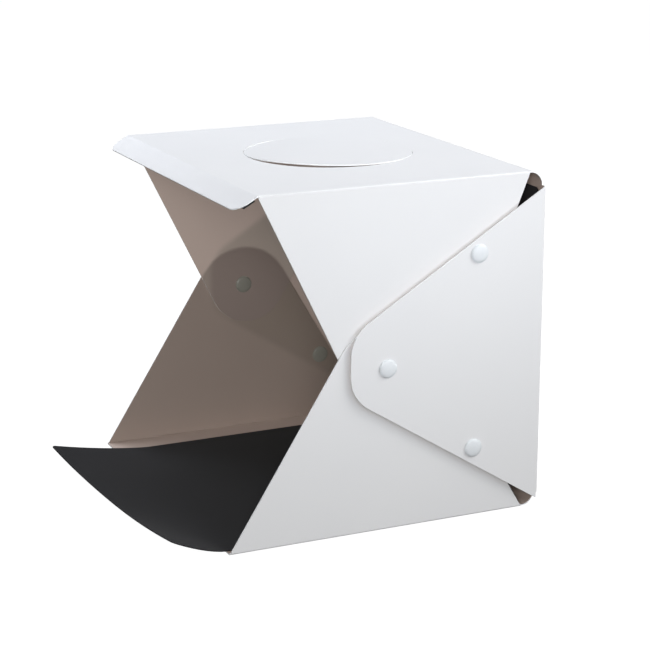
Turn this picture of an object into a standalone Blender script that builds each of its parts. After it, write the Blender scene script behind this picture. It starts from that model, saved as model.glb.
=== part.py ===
"""Folding light tent cube: a photo box of creased sheet whose side flaps snap together.

One die-cut sheet makes the base, back, roof, front lip and six side flaps. Each side is three
layers: the roof flap innermost, the bottom flap in the middle and the back flap outside. Three
plastic press studs hold them. A light bar sits under the front lip, a round cover closes the
window in the roof, and a black backdrop sweeps down the back wall and out of the front.

Units are metres. +X is the box's right side, -Y its open front, +Z up. The origin is the middle
of the base's underside.
"""
import math

import bmesh
import bpy
from mathutils import Matrix, Vector

# Box
BOX_HEIGHT = 0.228
BASE_DEPTH = 0.221
ROOF_WIDTH = 0.2366
ROOF_SETBACK = 0.022
SHEET = 0.0008
BEND_RADIUS = 0.0094
GAP = 0.0003
SNAP_SPACE = 0.0024

# Side flap outlines, as shares of the base's depth (from its middle) and of the box's height
ROOF_FLAP_HEEL_SHARES = (0.417, 0.903)
ROOF_FLAP_TIP_SHARES = (-0.002, 0.2114)
BOTTOM_FLAP_REAR_SHARE = 0.4525
BOTTOM_FLAP_TIP_SHARES = (-0.007, 0.753)
BACK_FLAP_ROOT_SHARES = (0.022, 0.959)
BACK_FLAP_NOSE_SHARE = -0.1267
BACK_FLAP_NOSE_HEIGHT_SHARES = (0.406, 0.586)
ROOF_FLAP_TIP_RADIUS = 0.030
BOTTOM_FLAP_TIP_RADIUS = 0.0365
BACK_FLAP_NOSE_RADIUS = 0.026

# Press studs, placed by the same shares
APEX_SNAP_SHARES = (-0.0104, 0.483)
LOWER_SNAP_SHARES = (0.2733, 0.2118)
UPPER_SNAP_SHARES = (0.2824, 0.784)
CAP_DIAMETER = 0.0124
CAP_RIM = 0.0005
CAP_DOME = 0.0012
POST_DIAMETER = 0.0038
STUD_BASE_DIAMETER = 0.0096
STUD_BASE_DEPTH = 0.0005
NUB_DIAMETER = 0.0036
NUB_TIP_DIAMETER = 0.0016
NUB_ROUND = 0.0007
NUB_REACH = 0.0005
SOCKET_DIAMETER = 0.0102
SOCKET_DEPTH = 0.001
SNAP_PLAY = 0.001
STUD_PASS_PLAY = 0.0026

# Front lip and the round window in the roof
LIP_RUN = 0.0168
LIP_DROOP = math.radians(29.0)
LIP_CORNER_RADIUS = 0.010
WINDOW_CENTRE_Y = 0.0124
COVER_RADIUS = 0.057
COVER_CREASE_LENGTH = 0.040
COVER_LIFT = math.radians(1.2)

# Light bar under the lip
BAR_SIDE_SETBACK = 0.0103
BAR_WIDTH = 0.0085
BAR_SETBACK = 0.0010
TAPE_THICKNESS = 0.0003
TAPE_MARGIN = 0.0010
TRAY_DEPTH = 0.0034
TRAY_WALL = 0.0006
BOARD_THICKNESS = 0.0008
LED_COUNT = 20
LED_LENGTH = 0.0035
LED_WIDTH = 0.0028
LED_THICKNESS = 0.0006
DIFFUSER_THICKNESS = 0.0005
END_CAP_LENGTH = 0.0022
INLET_WIDTH = 0.0056
INLET_HEIGHT = 0.0018
INLET_PROUD = 0.0004
INLET_WALL = 0.0003
INLET_FLOOR = 0.0008

# Backdrop sheet
BACKDROP_WIDTH = 0.211
BACKDROP_SHIFT = 0.0093
BACKDROP_THICKNESS = 0.0006
BACKDROP_TOP_DROP = 0.012
BACKDROP_SWEEP_RADIUS = 0.050
BACKDROP_OVERHANG = 0.043
BACKDROP_SKEW = 0.0065
BACKDROP_RISE_START = 0.0255
BACKDROP_RISE = 0.0055
BACKDROP_CORNER_RISE = 0.006
RISE_POWER = 1.5

# Smoothness
CORNER_STEPS = 14
BEND_STEPS = 10
SMALL_CIRCLE_STEPS = 24
WINDOW_STEPS = 72
TURN_STEPS = 24
DOME_STEPS = 4
BACKDROP_COLUMNS = 12
BACKDROP_ROWS = (4, 10, 16)
SHARP_ANGLE = math.radians(40.0)
WELD_DISTANCE = 0.00001
CUT_OVERRUN = 0.001

# Places worked out from the sizes
ROOF_FRONT = -BASE_DEPTH / 2 + ROOF_SETBACK
FLAT_REAR = BASE_DEPTH / 2 - BEND_RADIUS
PANEL_HALF = ROOF_WIDTH / 2
ROOF_FLAP_INNER = PANEL_HALF - SHEET
BOTTOM_FLAP_INNER = PANEL_HALF + GAP
BOTTOM_FLAP_OUTER = BOTTOM_FLAP_INNER + SHEET
BACK_FLAP_INNER = BOTTOM_FLAP_OUTER + SNAP_SPACE
BACK_FLAP_OUTER = BACK_FLAP_INNER + SHEET
ROOF_FLAP_TOP = BOX_HEIGHT - SHEET - GAP
BEND_MIDDLE_RADIUS = BEND_RADIUS - SHEET / 2
FOLD_INSET = BEND_MIDDLE_RADIUS * (1 - math.pi / 4)
FOLD_Y = BASE_DEPTH / 2 - SHEET / 2 - FOLD_INSET
BACK_FOLD_Z = SHEET / 2 + FOLD_INSET
ROOF_FOLD_Z = BOX_HEIGHT - SHEET / 2 - FOLD_INSET
COVER_CHORD = math.sqrt(COVER_RADIUS**2 - (COVER_CREASE_LENGTH / 2) ** 2)
SOCKET_FACE = BACK_FLAP_INNER - GAP - SOCKET_DEPTH
NUB_TOP = SOCKET_FACE + NUB_REACH
BAR_LENGTH = ROOF_WIDTH - 2 * BAR_SIDE_SETBACK

SIDES = {"right": 1, "left": -1}


def clear_scene():
    """Remove every object, so that the script builds from an empty scene."""
    for thing in list(bpy.data.objects):
        bpy.data.objects.remove(thing, do_unlink=True)


def new_collection(name):
    collection = bpy.data.collections.new(name)
    bpy.context.scene.collection.children.link(collection)
    return collection


def new_material(name, colour, roughness, metallic=0.0):
    """A Principled material with one colour."""
    material = bpy.data.materials.new(name)
    material.use_nodes = True
    shader = material.node_tree.nodes["Principled BSDF"]
    shader.inputs["Base Color"].default_value = (*colour, 1.0)
    shader.inputs["Roughness"].default_value = roughness
    shader.inputs["Metallic"].default_value = metallic
    material.diffuse_color = (*colour, 1.0)
    return material


def joint_axis(name, place, parent=None):
    """An empty on a crease, which carries the pieces that turn about it."""
    empty = bpy.data.objects.new(name, None)
    empty.empty_display_size = BEND_RADIUS
    empty.location = Vector(place)
    if parent is not None:
        empty.location -= parent.matrix_world.translation
        empty.parent = parent
    tent.objects.link(empty)
    bpy.context.view_layer.update()
    return empty


def adopt(piece, material, axis):
    """Link a piece, give it its material and hang it on its joint axis where it stands."""
    if not piece.data.materials:
        piece.data.materials.append(material)
    if axis is not None:
        piece.parent = axis
        piece.matrix_parent_inverse = axis.matrix_world.inverted()
    tent.objects.link(piece)
    return piece


def side_frame(x):
    """Turn a flat outline drawn as (y, z) into the upright plane at x."""
    return Matrix.Translation((x, 0, 0)) @ Matrix(((0, 0, 1, 0), (1, 0, 0, 0), (0, 1, 0, 0), (0, 0, 0, 1)))


def level_frame(z):
    return Matrix.Translation((0, 0, z))


def share_point(shares):
    """A place on a side wall, from shares of the base's depth and the box's height."""
    return (shares[0] * BASE_DEPTH, shares[1] * BOX_HEIGHT)


def circle(centre, radius, steps):
    """Points of a circle, anticlockwise."""
    turn = 2 * math.pi / steps
    return [(centre[0] + radius * math.cos(turn * i), centre[1] + radius * math.sin(turn * i))
            for i in range(steps)]


def rounded(corners):
    """Outline through (y, z, radius) corners, each rounded by an arc of that radius."""
    points = []
    for i, (y, z, radius) in enumerate(corners):
        here = Vector((y, z))
        if radius == 0:
            points.append(tuple(here))
            continue
        before = (Vector(corners[i - 1][:2]) - here).normalized()
        after = (Vector(corners[(i + 1) % len(corners)][:2]) - here).normalized()
        half = before.angle(after) / 2
        centre = here + (before + after).normalized() * radius / math.sin(half)
        start = here + before * radius / math.tan(half) - centre
        end = here + after * radius / math.tan(half) - centre
        sweep = math.remainder(math.atan2(end.y, end.x) - math.atan2(start.y, start.x), 2 * math.pi)
        first = math.atan2(start.y, start.x)
        for step in range(CORNER_STEPS + 1):
            angle = first + sweep * step / CORNER_STEPS
            points.append((centre.x + radius * math.cos(angle), centre.y + radius * math.sin(angle)))
    return points


def flat_piece(name, outlines, thickness, frame, material, axis):
    """A plate cut to the first outline, with the other outlines as its holes."""
    curve = bpy.data.curves.new(name, "CURVE")
    curve.dimensions = "2D"
    curve.fill_mode = "BOTH"
    curve.extrude = thickness / 2
    for outline in outlines:
        spline = curve.splines.new("POLY")
        spline.points.add(len(outline) - 1)
        for point, (a, b) in zip(spline.points, outline):
            point.co = (a, b, 0, 1)
        spline.use_cyclic_u = True
    piece = bpy.data.objects.new(name, curve)
    piece.matrix_world = frame
    return adopt(piece, material, axis)


def box_mesh(name, low, high):
    """A closed box between two corners."""
    shape = bmesh.new()
    size = Vector(high) - Vector(low)
    middle = (Vector(high) + Vector(low)) / 2
    place = Matrix.Translation(middle) @ Matrix.Diagonal((*size, 1))
    bmesh.ops.create_cube(shape, size=1, matrix=place)
    mesh = bpy.data.meshes.new(name)
    shape.to_mesh(mesh)
    shape.free()
    return mesh


def box_piece(name, low, high, frame, material, axis):
    piece = bpy.data.objects.new(name, box_mesh(name, low, high))
    piece.matrix_world = frame
    return adopt(piece, material, axis)


def placed_piece(name, mesh, frame, material, axis):
    """One copy of a repeated piece, which shares its mesh with the others."""
    piece = bpy.data.objects.new(name, mesh)
    piece.matrix_world = frame
    return adopt(piece, material, axis)


def turned_mesh(name, profile):
    """Turn a (radius, height) profile, listed from the top down its outer side, about Z."""
    mesh = bpy.data.meshes.new(name + "_profile")
    mesh.from_pydata([(r, 0, h) for r, h in profile], [(i, i + 1) for i in range(len(profile) - 1)], [])
    guide = bpy.data.objects.new(name + "_profile", mesh)
    tools.objects.link(guide)
    screw = guide.modifiers.new("turn", "SCREW")
    screw.steps = TURN_STEPS
    screw.render_steps = TURN_STEPS
    screw.use_merge_vertices = True
    screw.merge_threshold = WELD_DISTANCE
    bpy.context.view_layer.update()
    result = bpy.data.meshes.new_from_object(guide.evaluated_get(bpy.context.evaluated_depsgraph_get()))
    result.name = name
    result.shade_smooth()
    result.set_sharp_from_angle(angle=SHARP_ANGLE)
    bpy.data.objects.remove(guide, do_unlink=True)
    return result


def snap_cap_mesh(name):
    """Domed cap with its post: the cap's underside is at height 0 and the post runs below it."""
    radius = CAP_DIAMETER / 2
    dome = [(radius * math.sin(math.pi / 2 * i / DOME_STEPS),
             CAP_RIM + CAP_DOME * math.cos(math.pi / 2 * i / DOME_STEPS)) for i in range(DOME_STEPS + 1)]
    post = POST_DIAMETER / 2
    return turned_mesh(name, dome + [(radius, 0), (post, 0), (post, -SHEET - GAP), (0, -SHEET - GAP)])


def stud_mesh(name, height):
    """Stud whose flat base stands at height 0 and whose round-nosed nub ends at the given height."""
    base = STUD_BASE_DIAMETER / 2
    nub = NUB_DIAMETER / 2
    tip = NUB_TIP_DIAMETER / 2
    return turned_mesh(name, [(0, height), (tip, height), (nub, height - NUB_ROUND), (nub, STUD_BASE_DEPTH),
                              (base, STUD_BASE_DEPTH), (base, 0), (0, 0)])


def socket_mesh(name):
    """Open ring that the nub enters, from height 0 up."""
    outer = SOCKET_DIAMETER / 2
    bore = NUB_DIAMETER / 2 + SNAP_PLAY
    ring = [(bore, SOCKET_DEPTH), (outer, SOCKET_DEPTH), (outer, 0), (bore, 0), (bore, SOCKET_DEPTH)]
    return turned_mesh(name, ring)


def snap_frame(shares, x, side, inward=False):
    """Frame on a side wall at distance x from the middle, with Z pointing out, or in."""
    y, z = share_point(shares)
    turn = Matrix.Rotation(math.pi / 2 * side * (-1 if inward else 1), 4, "Y")
    return Matrix.Translation((side * x, y, z)) @ turn


def snap_hole(shares, diameter):
    return circle(share_point(shares), diameter / 2, SMALL_CIRCLE_STEPS)


def bend_piece(name, centre, first_angle, material, axis):
    """Quarter turn of sheet between two panels, as wide as the roof."""
    inner = BEND_RADIUS - SHEET
    angles = [first_angle + math.pi / 2 * i / BEND_STEPS for i in range(BEND_STEPS + 1)]

    def arc(radius):
        return [(centre[0] + radius * math.cos(a), centre[1] + radius * math.sin(a)) for a in angles]

    outline = arc(BEND_RADIUS) + arc(inner)[::-1]
    return flat_piece(name, [outline], ROOF_WIDTH, side_frame(0), material, axis)


def window_outline(radius, chord):
    """Circle about the window's centre, cut straight at chord behind that centre."""
    start = math.asin(chord / radius)
    sweep = math.pi + 2 * start
    first = math.pi - start
    return [(radius * math.cos(first + sweep * i / WINDOW_STEPS),
             WINDOW_CENTRE_Y + radius * math.sin(first + sweep * i / WINDOW_STEPS))
            for i in range(WINDOW_STEPS + 1)]


def build_base():
    front = -BASE_DEPTH / 2
    rear = FLAT_REAR - GAP
    outline = [(-PANEL_HALF, front), (PANEL_HALF, front), (PANEL_HALF, rear), (-PANEL_HALF, rear)]
    flat_piece("base_panel", [outline], SHEET, level_frame(SHEET / 2), sheet_white, None)
    bend_piece("rear_bottom_bend", (FLAT_REAR, BEND_RADIUS), -math.pi / 2, sheet_white, None)


def build_back(axis):
    half = BACK_FLAP_INNER - GAP
    low = BEND_RADIUS + GAP
    high = BOX_HEIGHT - BEND_RADIUS - GAP
    rear = BASE_DEPTH / 2
    box_piece("back_panel", (-half, rear - SHEET, low), (half, rear, high), Matrix(), sheet_white, axis)
    bend_piece("rear_top_bend", (FLAT_REAR, BOX_HEIGHT - BEND_RADIUS), 0, sheet_white, axis)


def build_roof(axis):
    rear = FLAT_REAR - GAP
    outline = [(-PANEL_HALF, ROOF_FRONT), (PANEL_HALF, ROOF_FRONT), (PANEL_HALF, rear), (-PANEL_HALF, rear)]
    window = window_outline(COVER_RADIUS + GAP, COVER_CHORD)
    top = level_frame(BOX_HEIGHT - SHEET / 2)
    flat_piece("roof_panel", [outline, window], SHEET, top, sheet_white, axis)


def build_window_cover(axis):
    """The die-cut disc lies in the window, hinged at its rear crease, its front a little raised."""
    hinge = Vector((0, WINDOW_CENTRE_Y + COVER_CHORD - GAP / 2, BOX_HEIGHT))
    lift = Matrix.Translation(hinge) @ Matrix.Rotation(-COVER_LIFT, 4, "X") @ Matrix.Translation(-hinge)
    frame = lift @ level_frame(BOX_HEIGHT - SHEET / 2)
    disc = window_outline(COVER_RADIUS, COVER_CHORD - GAP)
    flat_piece("window_cover", [disc], SHEET, frame, sheet_white, axis)


def lip_frame():
    """Frame of the sloping lip: origin on its crease, Y back up the slope, Z out of its top."""
    crease = Matrix.Translation((0, ROOF_FRONT - GAP / 2, BOX_HEIGHT - SHEET / 2))
    return crease @ Matrix.Rotation(LIP_DROOP, 4, "X")


def build_lip(axis):
    root = -SHEET / 2 - GAP / 2
    edge = -LIP_RUN
    corners = [(-PANEL_HALF, root, 0), (-PANEL_HALF, edge, LIP_CORNER_RADIUS),
               (PANEL_HALF, edge, LIP_CORNER_RADIUS), (PANEL_HALF, root, 0)]
    flat_piece("front_lip", [rounded(corners)], SHEET, lip_frame(), sheet_white, axis)


def build_roof_flap(side_name, side, axis):
    """Innermost side layer, hung from the roof, with a stud and inner cap at two places."""
    corners = [(ROOF_FRONT, ROOF_FLAP_TOP, 0),
               (*share_point(ROOF_FLAP_TIP_SHARES), ROOF_FLAP_TIP_RADIUS),
               (*share_point(ROOF_FLAP_HEEL_SHARES), 0),
               (FLAT_REAR - GAP, ROOF_FLAP_TOP, 0)]
    hole = POST_DIAMETER + 2 * GAP
    holes = [snap_hole(shares, hole) for shares in (APEX_SNAP_SHARES, UPPER_SNAP_SHARES)]
    middle = side_frame(side * (ROOF_FLAP_INNER + SHEET / 2))
    flat_piece("roof_flap_" + side_name, [rounded(corners)] + holes, SHEET, middle, sheet_white, axis)

    stud_root = PANEL_HALF + GAP
    for place, shares in (("apex", APEX_SNAP_SHARES), ("upper", UPPER_SNAP_SHARES)):
        label = f"{place}_{side_name}"
        stud_place = snap_frame(shares, stud_root, side)
        cap_place = snap_frame(shares, ROOF_FLAP_INNER - GAP, side, inward=True)
        placed_piece("roof_flap_stud_" + label, tall_stud, stud_place, snap_white, axis)
        placed_piece("roof_flap_cap_" + label, snap_cap, cap_place, snap_white, axis)


def build_bottom_flap(side_name, side, axis):
    """Middle side layer, standing on the base's edge; the apex stud passes through its tip."""
    corners = [(-BASE_DEPTH / 2, 0, 0),
               (BOTTOM_FLAP_REAR_SHARE * BASE_DEPTH, 0, 0),
               (*share_point(BOTTOM_FLAP_TIP_SHARES), BOTTOM_FLAP_TIP_RADIUS)]
    holes = [snap_hole(LOWER_SNAP_SHARES, POST_DIAMETER + 2 * GAP),
             snap_hole(APEX_SNAP_SHARES, STUD_BASE_DIAMETER + 2 * STUD_PASS_PLAY)]
    middle = side_frame(side * (BOTTOM_FLAP_INNER + SHEET / 2))
    flat_piece("bottom_flap_" + side_name, [rounded(corners)] + holes, SHEET, middle, sheet_white, axis)

    stud_place = snap_frame(LOWER_SNAP_SHARES, BOTTOM_FLAP_OUTER + GAP, side)
    cap_place = snap_frame(LOWER_SNAP_SHARES, BOTTOM_FLAP_INNER - GAP, side, inward=True)
    placed_piece("bottom_flap_stud_" + side_name, short_stud, stud_place, snap_white, axis)
    placed_piece("bottom_flap_cap_" + side_name, snap_cap, cap_place, snap_white, axis)


def build_back_flap(side_name, side, axis):
    """Outermost side layer, creased along the back panel, with three sockets and outer caps."""
    rear = BASE_DEPTH / 2
    nose = BACK_FLAP_NOSE_SHARE * BASE_DEPTH
    low, high = (share * BOX_HEIGHT for share in BACK_FLAP_ROOT_SHARES)
    nose_low, nose_high = (share * BOX_HEIGHT for share in BACK_FLAP_NOSE_HEIGHT_SHARES)
    corners = [(rear, low, 0), (rear, high, 0),
               (nose, nose_high, BACK_FLAP_NOSE_RADIUS), (nose, nose_low, BACK_FLAP_NOSE_RADIUS)]
    places = {"apex": APEX_SNAP_SHARES, "lower": LOWER_SNAP_SHARES, "upper": UPPER_SNAP_SHARES}
    holes = [snap_hole(shares, POST_DIAMETER + 2 * GAP) for shares in places.values()]
    middle = side_frame(side * (BACK_FLAP_INNER + SHEET / 2))
    flat_piece("back_flap_" + side_name, [rounded(corners)] + holes, SHEET, middle, sheet_white, axis)

    for place, shares in places.items():
        label = f"{place}_{side_name}"
        socket_place = snap_frame(shares, SOCKET_FACE, side)
        cap_place = snap_frame(shares, BACK_FLAP_OUTER + GAP, side)
        placed_piece("back_flap_socket_" + label, socket_ring, socket_place, snap_white, axis)
        placed_piece("back_flap_cap_" + label, snap_cap, cap_place, snap_white, axis)


def combine(piece, name, mesh, frame, operation):
    """Cut a shape out of a piece, or join it on."""
    guide = bpy.data.objects.new(name, mesh)
    guide.matrix_world = frame
    guide.hide_render = True
    guide.display_type = "WIRE"
    tools.objects.link(guide)
    boolean = piece.modifiers.new(name, "BOOLEAN")
    boolean.operation = operation
    boolean.solver = "EXACT"
    boolean.object = guide


def cut(piece, name, low, high, frame):
    """Cut a box out of a piece."""
    combine(piece, name, box_mesh(name, low, high), frame, "DIFFERENCE")


def build_light_bar(axis):
    """Tray taped under the lip, holding a board with LEDs behind a frosted strip."""
    frame = lip_frame()
    rear = -BAR_SETBACK
    front = rear - BAR_WIDTH
    half = BAR_LENGTH / 2
    tape_top = -SHEET / 2 - GAP
    tape_low = tape_top - TAPE_THICKNESS
    box_piece("light_bar_tape", (-half + TAPE_MARGIN, front + TAPE_MARGIN, tape_low),
              (half - TAPE_MARGIN, rear - TAPE_MARGIN, tape_top), frame, tape_grey, axis)

    tray_top = tape_low - GAP
    tray_low = tray_top - TRAY_DEPTH
    tray = box_piece("light_bar_tray", (-half, front, tray_low), (half, rear, tray_top),
                     frame, bar_black, axis)
    inside_front = front + TRAY_WALL
    inside_rear = rear - TRAY_WALL
    inside_top = tray_top - TRAY_WALL
    cut(tray, "tray_channel", (-half - CUT_OVERRUN, inside_front, tray_low - CUT_OVERRUN),
        (half + CUT_OVERRUN, inside_rear, inside_top), frame)

    board_top = inside_top - GAP
    board_low = board_top - BOARD_THICKNESS
    board = box_piece("light_bar_board", (-half + GAP, inside_front + GAP, board_low),
                      (half - GAP, inside_rear - GAP, board_top), frame, board_white, axis)
    middle = (front + rear) / 2
    pitch = BAR_LENGTH / LED_COUNT
    for i in range(LED_COUNT):
        led_x = pitch * (i + 0.5) - half
        led_low = (led_x - LED_LENGTH / 2, middle - LED_WIDTH / 2, board_low - LED_THICKNESS)
        led_high = (led_x + LED_LENGTH / 2, middle + LED_WIDTH / 2, board_low + LED_THICKNESS / 2)
        led = box_mesh(f"led_{i}", led_low, led_high)
        combine(board, f"led_{i}", led, frame, "UNION")

    box_piece("light_bar_diffuser", (-half + GAP, inside_front + GAP, tray_low),
              (half - GAP, inside_rear - GAP, tray_low + DIFFUSER_THICKNESS), frame, diffuser_frosted, axis)

    cap_inner = half + GAP
    cap_outer = cap_inner + END_CAP_LENGTH
    box_piece("light_bar_end_cap_right", (cap_inner, front, tray_low), (cap_outer, rear, tray_top),
              frame, bar_black, axis)
    left_cap = box_piece("light_bar_end_cap_left", (-cap_outer, front, tray_low),
                         (-cap_inner, rear, tray_top), frame, bar_black, axis)

    slot_middle = (tray_top + tray_low) / 2
    inlet_half = INLET_WIDTH / 2
    inlet_low = slot_middle - INLET_HEIGHT / 2
    inlet_high = slot_middle + INLET_HEIGHT / 2
    cut(left_cap, "inlet_mouth", (-cap_outer - CUT_OVERRUN, middle - inlet_half - GAP, inlet_low - GAP),
        (-cap_inner + CUT_OVERRUN, middle + inlet_half + GAP, inlet_high + GAP), frame)
    inlet_mouth = -cap_outer - INLET_PROUD
    inlet = box_piece("light_power_inlet", (inlet_mouth, middle - inlet_half, inlet_low),
                      (-half, middle + inlet_half, inlet_high), frame, inlet_metal, axis)
    cut(inlet, "inlet_slot",
        (inlet_mouth - CUT_OVERRUN, middle - inlet_half + INLET_WALL, inlet_low + INLET_WALL),
        (-half - INLET_FLOOR, middle + inlet_half - INLET_WALL, inlet_high - INLET_WALL), frame)


def backdrop_rows():
    """Middle line of the backdrop's fixed stretch as (y, z), from its top edge to the floor."""
    wall_y = BASE_DEPTH / 2 - SHEET - GAP - BACKDROP_THICKNESS / 2
    floor_z = SHEET + GAP + BACKDROP_THICKNESS / 2
    top_z = BOX_HEIGHT - BACKDROP_TOP_DROP
    bend_y = wall_y - BACKDROP_SWEEP_RADIUS
    bend_z = floor_z + BACKDROP_SWEEP_RADIUS
    wall_rows, bend_rows, floor_rows = BACKDROP_ROWS
    rows = [(wall_y, top_z + (bend_z - top_z) * i / wall_rows) for i in range(wall_rows)]
    for i in range(bend_rows + 1):
        angle = math.pi / 2 * i / bend_rows
        rows.append((bend_y + BACKDROP_SWEEP_RADIUS * math.cos(angle),
                     bend_z - BACKDROP_SWEEP_RADIUS * math.sin(angle)))
    return rows, floor_rows


def build_backdrop():
    """Thin sheet down the back wall, round a sweep and over the floor; its front edge curls up."""
    rows, floor_rows = backdrop_rows()
    total_rows = len(rows) - 1 + floor_rows
    shape = bmesh.new()
    bmesh.ops.create_grid(shape, x_segments=BACKDROP_COLUMNS, y_segments=total_rows, size=1)
    rise_y = -BASE_DEPTH / 2 + BACKDROP_RISE_START
    for vertex in shape.verts:
        across = vertex.co.x
        row = round((1 - vertex.co.y) / 2 * total_rows)
        if row < len(rows):
            y, z = rows[row]
        else:
            y, z = rows[-1]
            front = -BASE_DEPTH / 2 - BACKDROP_OVERHANG + BACKDROP_SKEW * across
            y += (front - y) * (row - len(rows) + 1) / floor_rows
            beyond = max(0, (rise_y - y) / (rise_y - front))
            z += (BACKDROP_RISE + BACKDROP_CORNER_RISE * across**2) * beyond**RISE_POWER
        vertex.co = (BACKDROP_SHIFT + across * BACKDROP_WIDTH / 2, y, z)
    bmesh.ops.recalc_face_normals(shape, faces=shape.faces)
    mesh = bpy.data.meshes.new("backdrop")
    shape.to_mesh(mesh)
    shape.free()
    piece = bpy.data.objects.new("backdrop", mesh)
    thicken = piece.modifiers.new("thickness", "SOLIDIFY")
    thicken.thickness = BACKDROP_THICKNESS
    thicken.offset = 0
    thicken.use_even_offset = True
    adopt(piece, backdrop_black, None)
    mesh.shade_smooth()
    mesh.set_sharp_from_angle(angle=SHARP_ANGLE)


clear_scene()
tent = new_collection("light_tent_cube")
tools = new_collection("cutters")

sheet_white = new_material("white polypropylene sheet", (0.80, 0.83, 0.85), 0.5)
snap_white = new_material("white moulded snap", (0.78, 0.82, 0.84), 0.35)
bar_black = new_material("black moulded plastic", (0.015, 0.015, 0.016), 0.5)
tape_grey = new_material("grey foam tape", (0.30, 0.30, 0.30), 0.9)
board_white = new_material("white circuit board", (0.72, 0.74, 0.72), 0.4)
diffuser_frosted = new_material("frosted diffuser", (0.75, 0.78, 0.82), 0.6)
inlet_metal = new_material("plated steel", (0.55, 0.55, 0.56), 0.3, metallic=1.0)
backdrop_black = new_material("black backdrop cloth", (0.02, 0.02, 0.022), 0.9)

back_fold = joint_axis("back_fold_axis", (0, FOLD_Y, BACK_FOLD_Z))
roof_fold = joint_axis("roof_fold_axis", (0, FOLD_Y, ROOF_FOLD_Z), back_fold)
lip_crease = joint_axis("lip_axis", (0, ROOF_FRONT - GAP / 2, BOX_HEIGHT - SHEET / 2), roof_fold)
cover_crease = joint_axis("cover_axis", (0, WINDOW_CENTRE_Y + COVER_CHORD - GAP / 2, BOX_HEIGHT), roof_fold)

snap_cap = snap_cap_mesh("snap_cap")
socket_ring = socket_mesh("socket_ring")
tall_stud = stud_mesh("tall_stud", NUB_TOP - PANEL_HALF - GAP)
short_stud = stud_mesh("short_stud", NUB_TOP - BOTTOM_FLAP_OUTER - GAP)

build_base()
build_back(back_fold)
build_roof(roof_fold)
build_window_cover(cover_crease)
build_lip(lip_crease)
build_light_bar(lip_crease)
for side_label, direction in SIDES.items():
    roof_crease = joint_axis("roof_flap_axis_" + side_label,
                             (direction * ROOF_FLAP_INNER, 0, ROOF_FLAP_TOP), roof_fold)
    bottom_crease = joint_axis("bottom_flap_axis_" + side_label, (direction * BOTTOM_FLAP_OUTER, 0, 0))
    back_crease = joint_axis("back_flap_axis_" + side_label,
                             (direction * BACK_FLAP_OUTER, BASE_DEPTH / 2, BOX_HEIGHT / 2), back_fold)
    build_roof_flap(side_label, direction, roof_crease)
    build_bottom_flap(side_label, direction, bottom_crease)
    build_back_flap(side_label, direction, back_crease)
build_backdrop()
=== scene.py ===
"""Looks for the folding light tent cube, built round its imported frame.

The sheets, creases, press studs, light bar and backdrop are modelled here in full and stand for the
plain solids. Everything is in metres in the frame's own axes: +X right, -Y the open front, +Z up.
"""

import math

import bpy
from mathutils import Matrix, Vector


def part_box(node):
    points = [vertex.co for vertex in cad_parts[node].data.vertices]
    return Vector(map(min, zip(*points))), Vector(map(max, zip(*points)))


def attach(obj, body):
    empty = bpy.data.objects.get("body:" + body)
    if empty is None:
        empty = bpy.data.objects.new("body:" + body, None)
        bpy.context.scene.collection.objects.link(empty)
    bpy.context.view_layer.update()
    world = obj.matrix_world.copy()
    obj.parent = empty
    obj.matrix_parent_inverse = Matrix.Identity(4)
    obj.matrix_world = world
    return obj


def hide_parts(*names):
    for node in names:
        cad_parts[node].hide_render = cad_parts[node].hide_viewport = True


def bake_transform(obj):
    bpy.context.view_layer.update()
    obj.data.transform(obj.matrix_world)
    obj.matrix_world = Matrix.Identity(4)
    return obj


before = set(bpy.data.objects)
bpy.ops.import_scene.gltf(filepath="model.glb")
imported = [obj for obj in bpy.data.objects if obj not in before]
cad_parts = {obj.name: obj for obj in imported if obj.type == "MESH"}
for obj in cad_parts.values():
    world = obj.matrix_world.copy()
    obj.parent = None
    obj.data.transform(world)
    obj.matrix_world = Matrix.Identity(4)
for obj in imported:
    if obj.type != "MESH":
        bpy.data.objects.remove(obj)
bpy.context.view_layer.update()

MM = 0.001

# Camera solved from the photograph's own corners
CAMERA_PLACE = (1.19233, -0.53830, 0.46786)
CAMERA_PITCH = -0.2686
CAMERA_YAW = 1.1396
CAMERA_LENS = 109.0
SENSOR_WIDTH = 36.0

# Light: each lamp's place, the point it faces, its width and height, its power and its colour
WORLD_LIGHT = 0.11
WORLD_SEEN = 1.0
FLOOR_SIZE = 14.0
FLOOR_DROP = 0.2 * MM
FLOOR_GLOW = 1.0
# Painted glows, not lamps: cut edges brightened, inner caps lit as if by daylight through the sheet
EDGE_PAINTED_GLOW = 0.06
INNER_CAP_PAINTED_GLOW = 0.15
COOL = (0.955, 0.993, 1.065)
COLD = (0.90, 0.985, 1.115)
NEUTRAL = (1.0, 1.0, 1.0)
LAMPS = {
    "overhead_softbox": ((-0.50, 0.10, 1.10), (0, 0, 0.20), (0.60, 0.60), 7.1, COOL),
    "left_softbox": ((-0.90, -0.20, 0.60), (-0.10, 0, 0.23), (0.50, 0.30), 2.6, COOL),
    "rear_softbox": ((0.50, 0.55, 0.75), (0.10, 0, 0.15), (0.40, 0.40), 4.15, NEUTRAL),
    "rear_key": ((0.75, 0.60, 0.50), (0.12, 0.02, 0.12), (0.20, 0.20), 0.9, NEUTRAL),
    "right_wall_strip": ((0.32, 0.02, 0.225), (0.12, 0.02, 0.20), (0.35, 0.06), 0.145, COLD),
    "right_softbox": ((0.90, 0.25, 0.22), (0.12, 0.02, 0.12), (0.40, 0.30), 0.60, NEUTRAL),
    "camera_fill": ((1.35, -0.75, 0.55), (0, 0, 0.11), (0.50, 0.50), 10.3, NEUTRAL),
    "back_softbox": ((-0.10, 1.30, 0.20), (0, 0.11, 0.12), (0.60, 0.40), 5.0, NEUTRAL),
}

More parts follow.
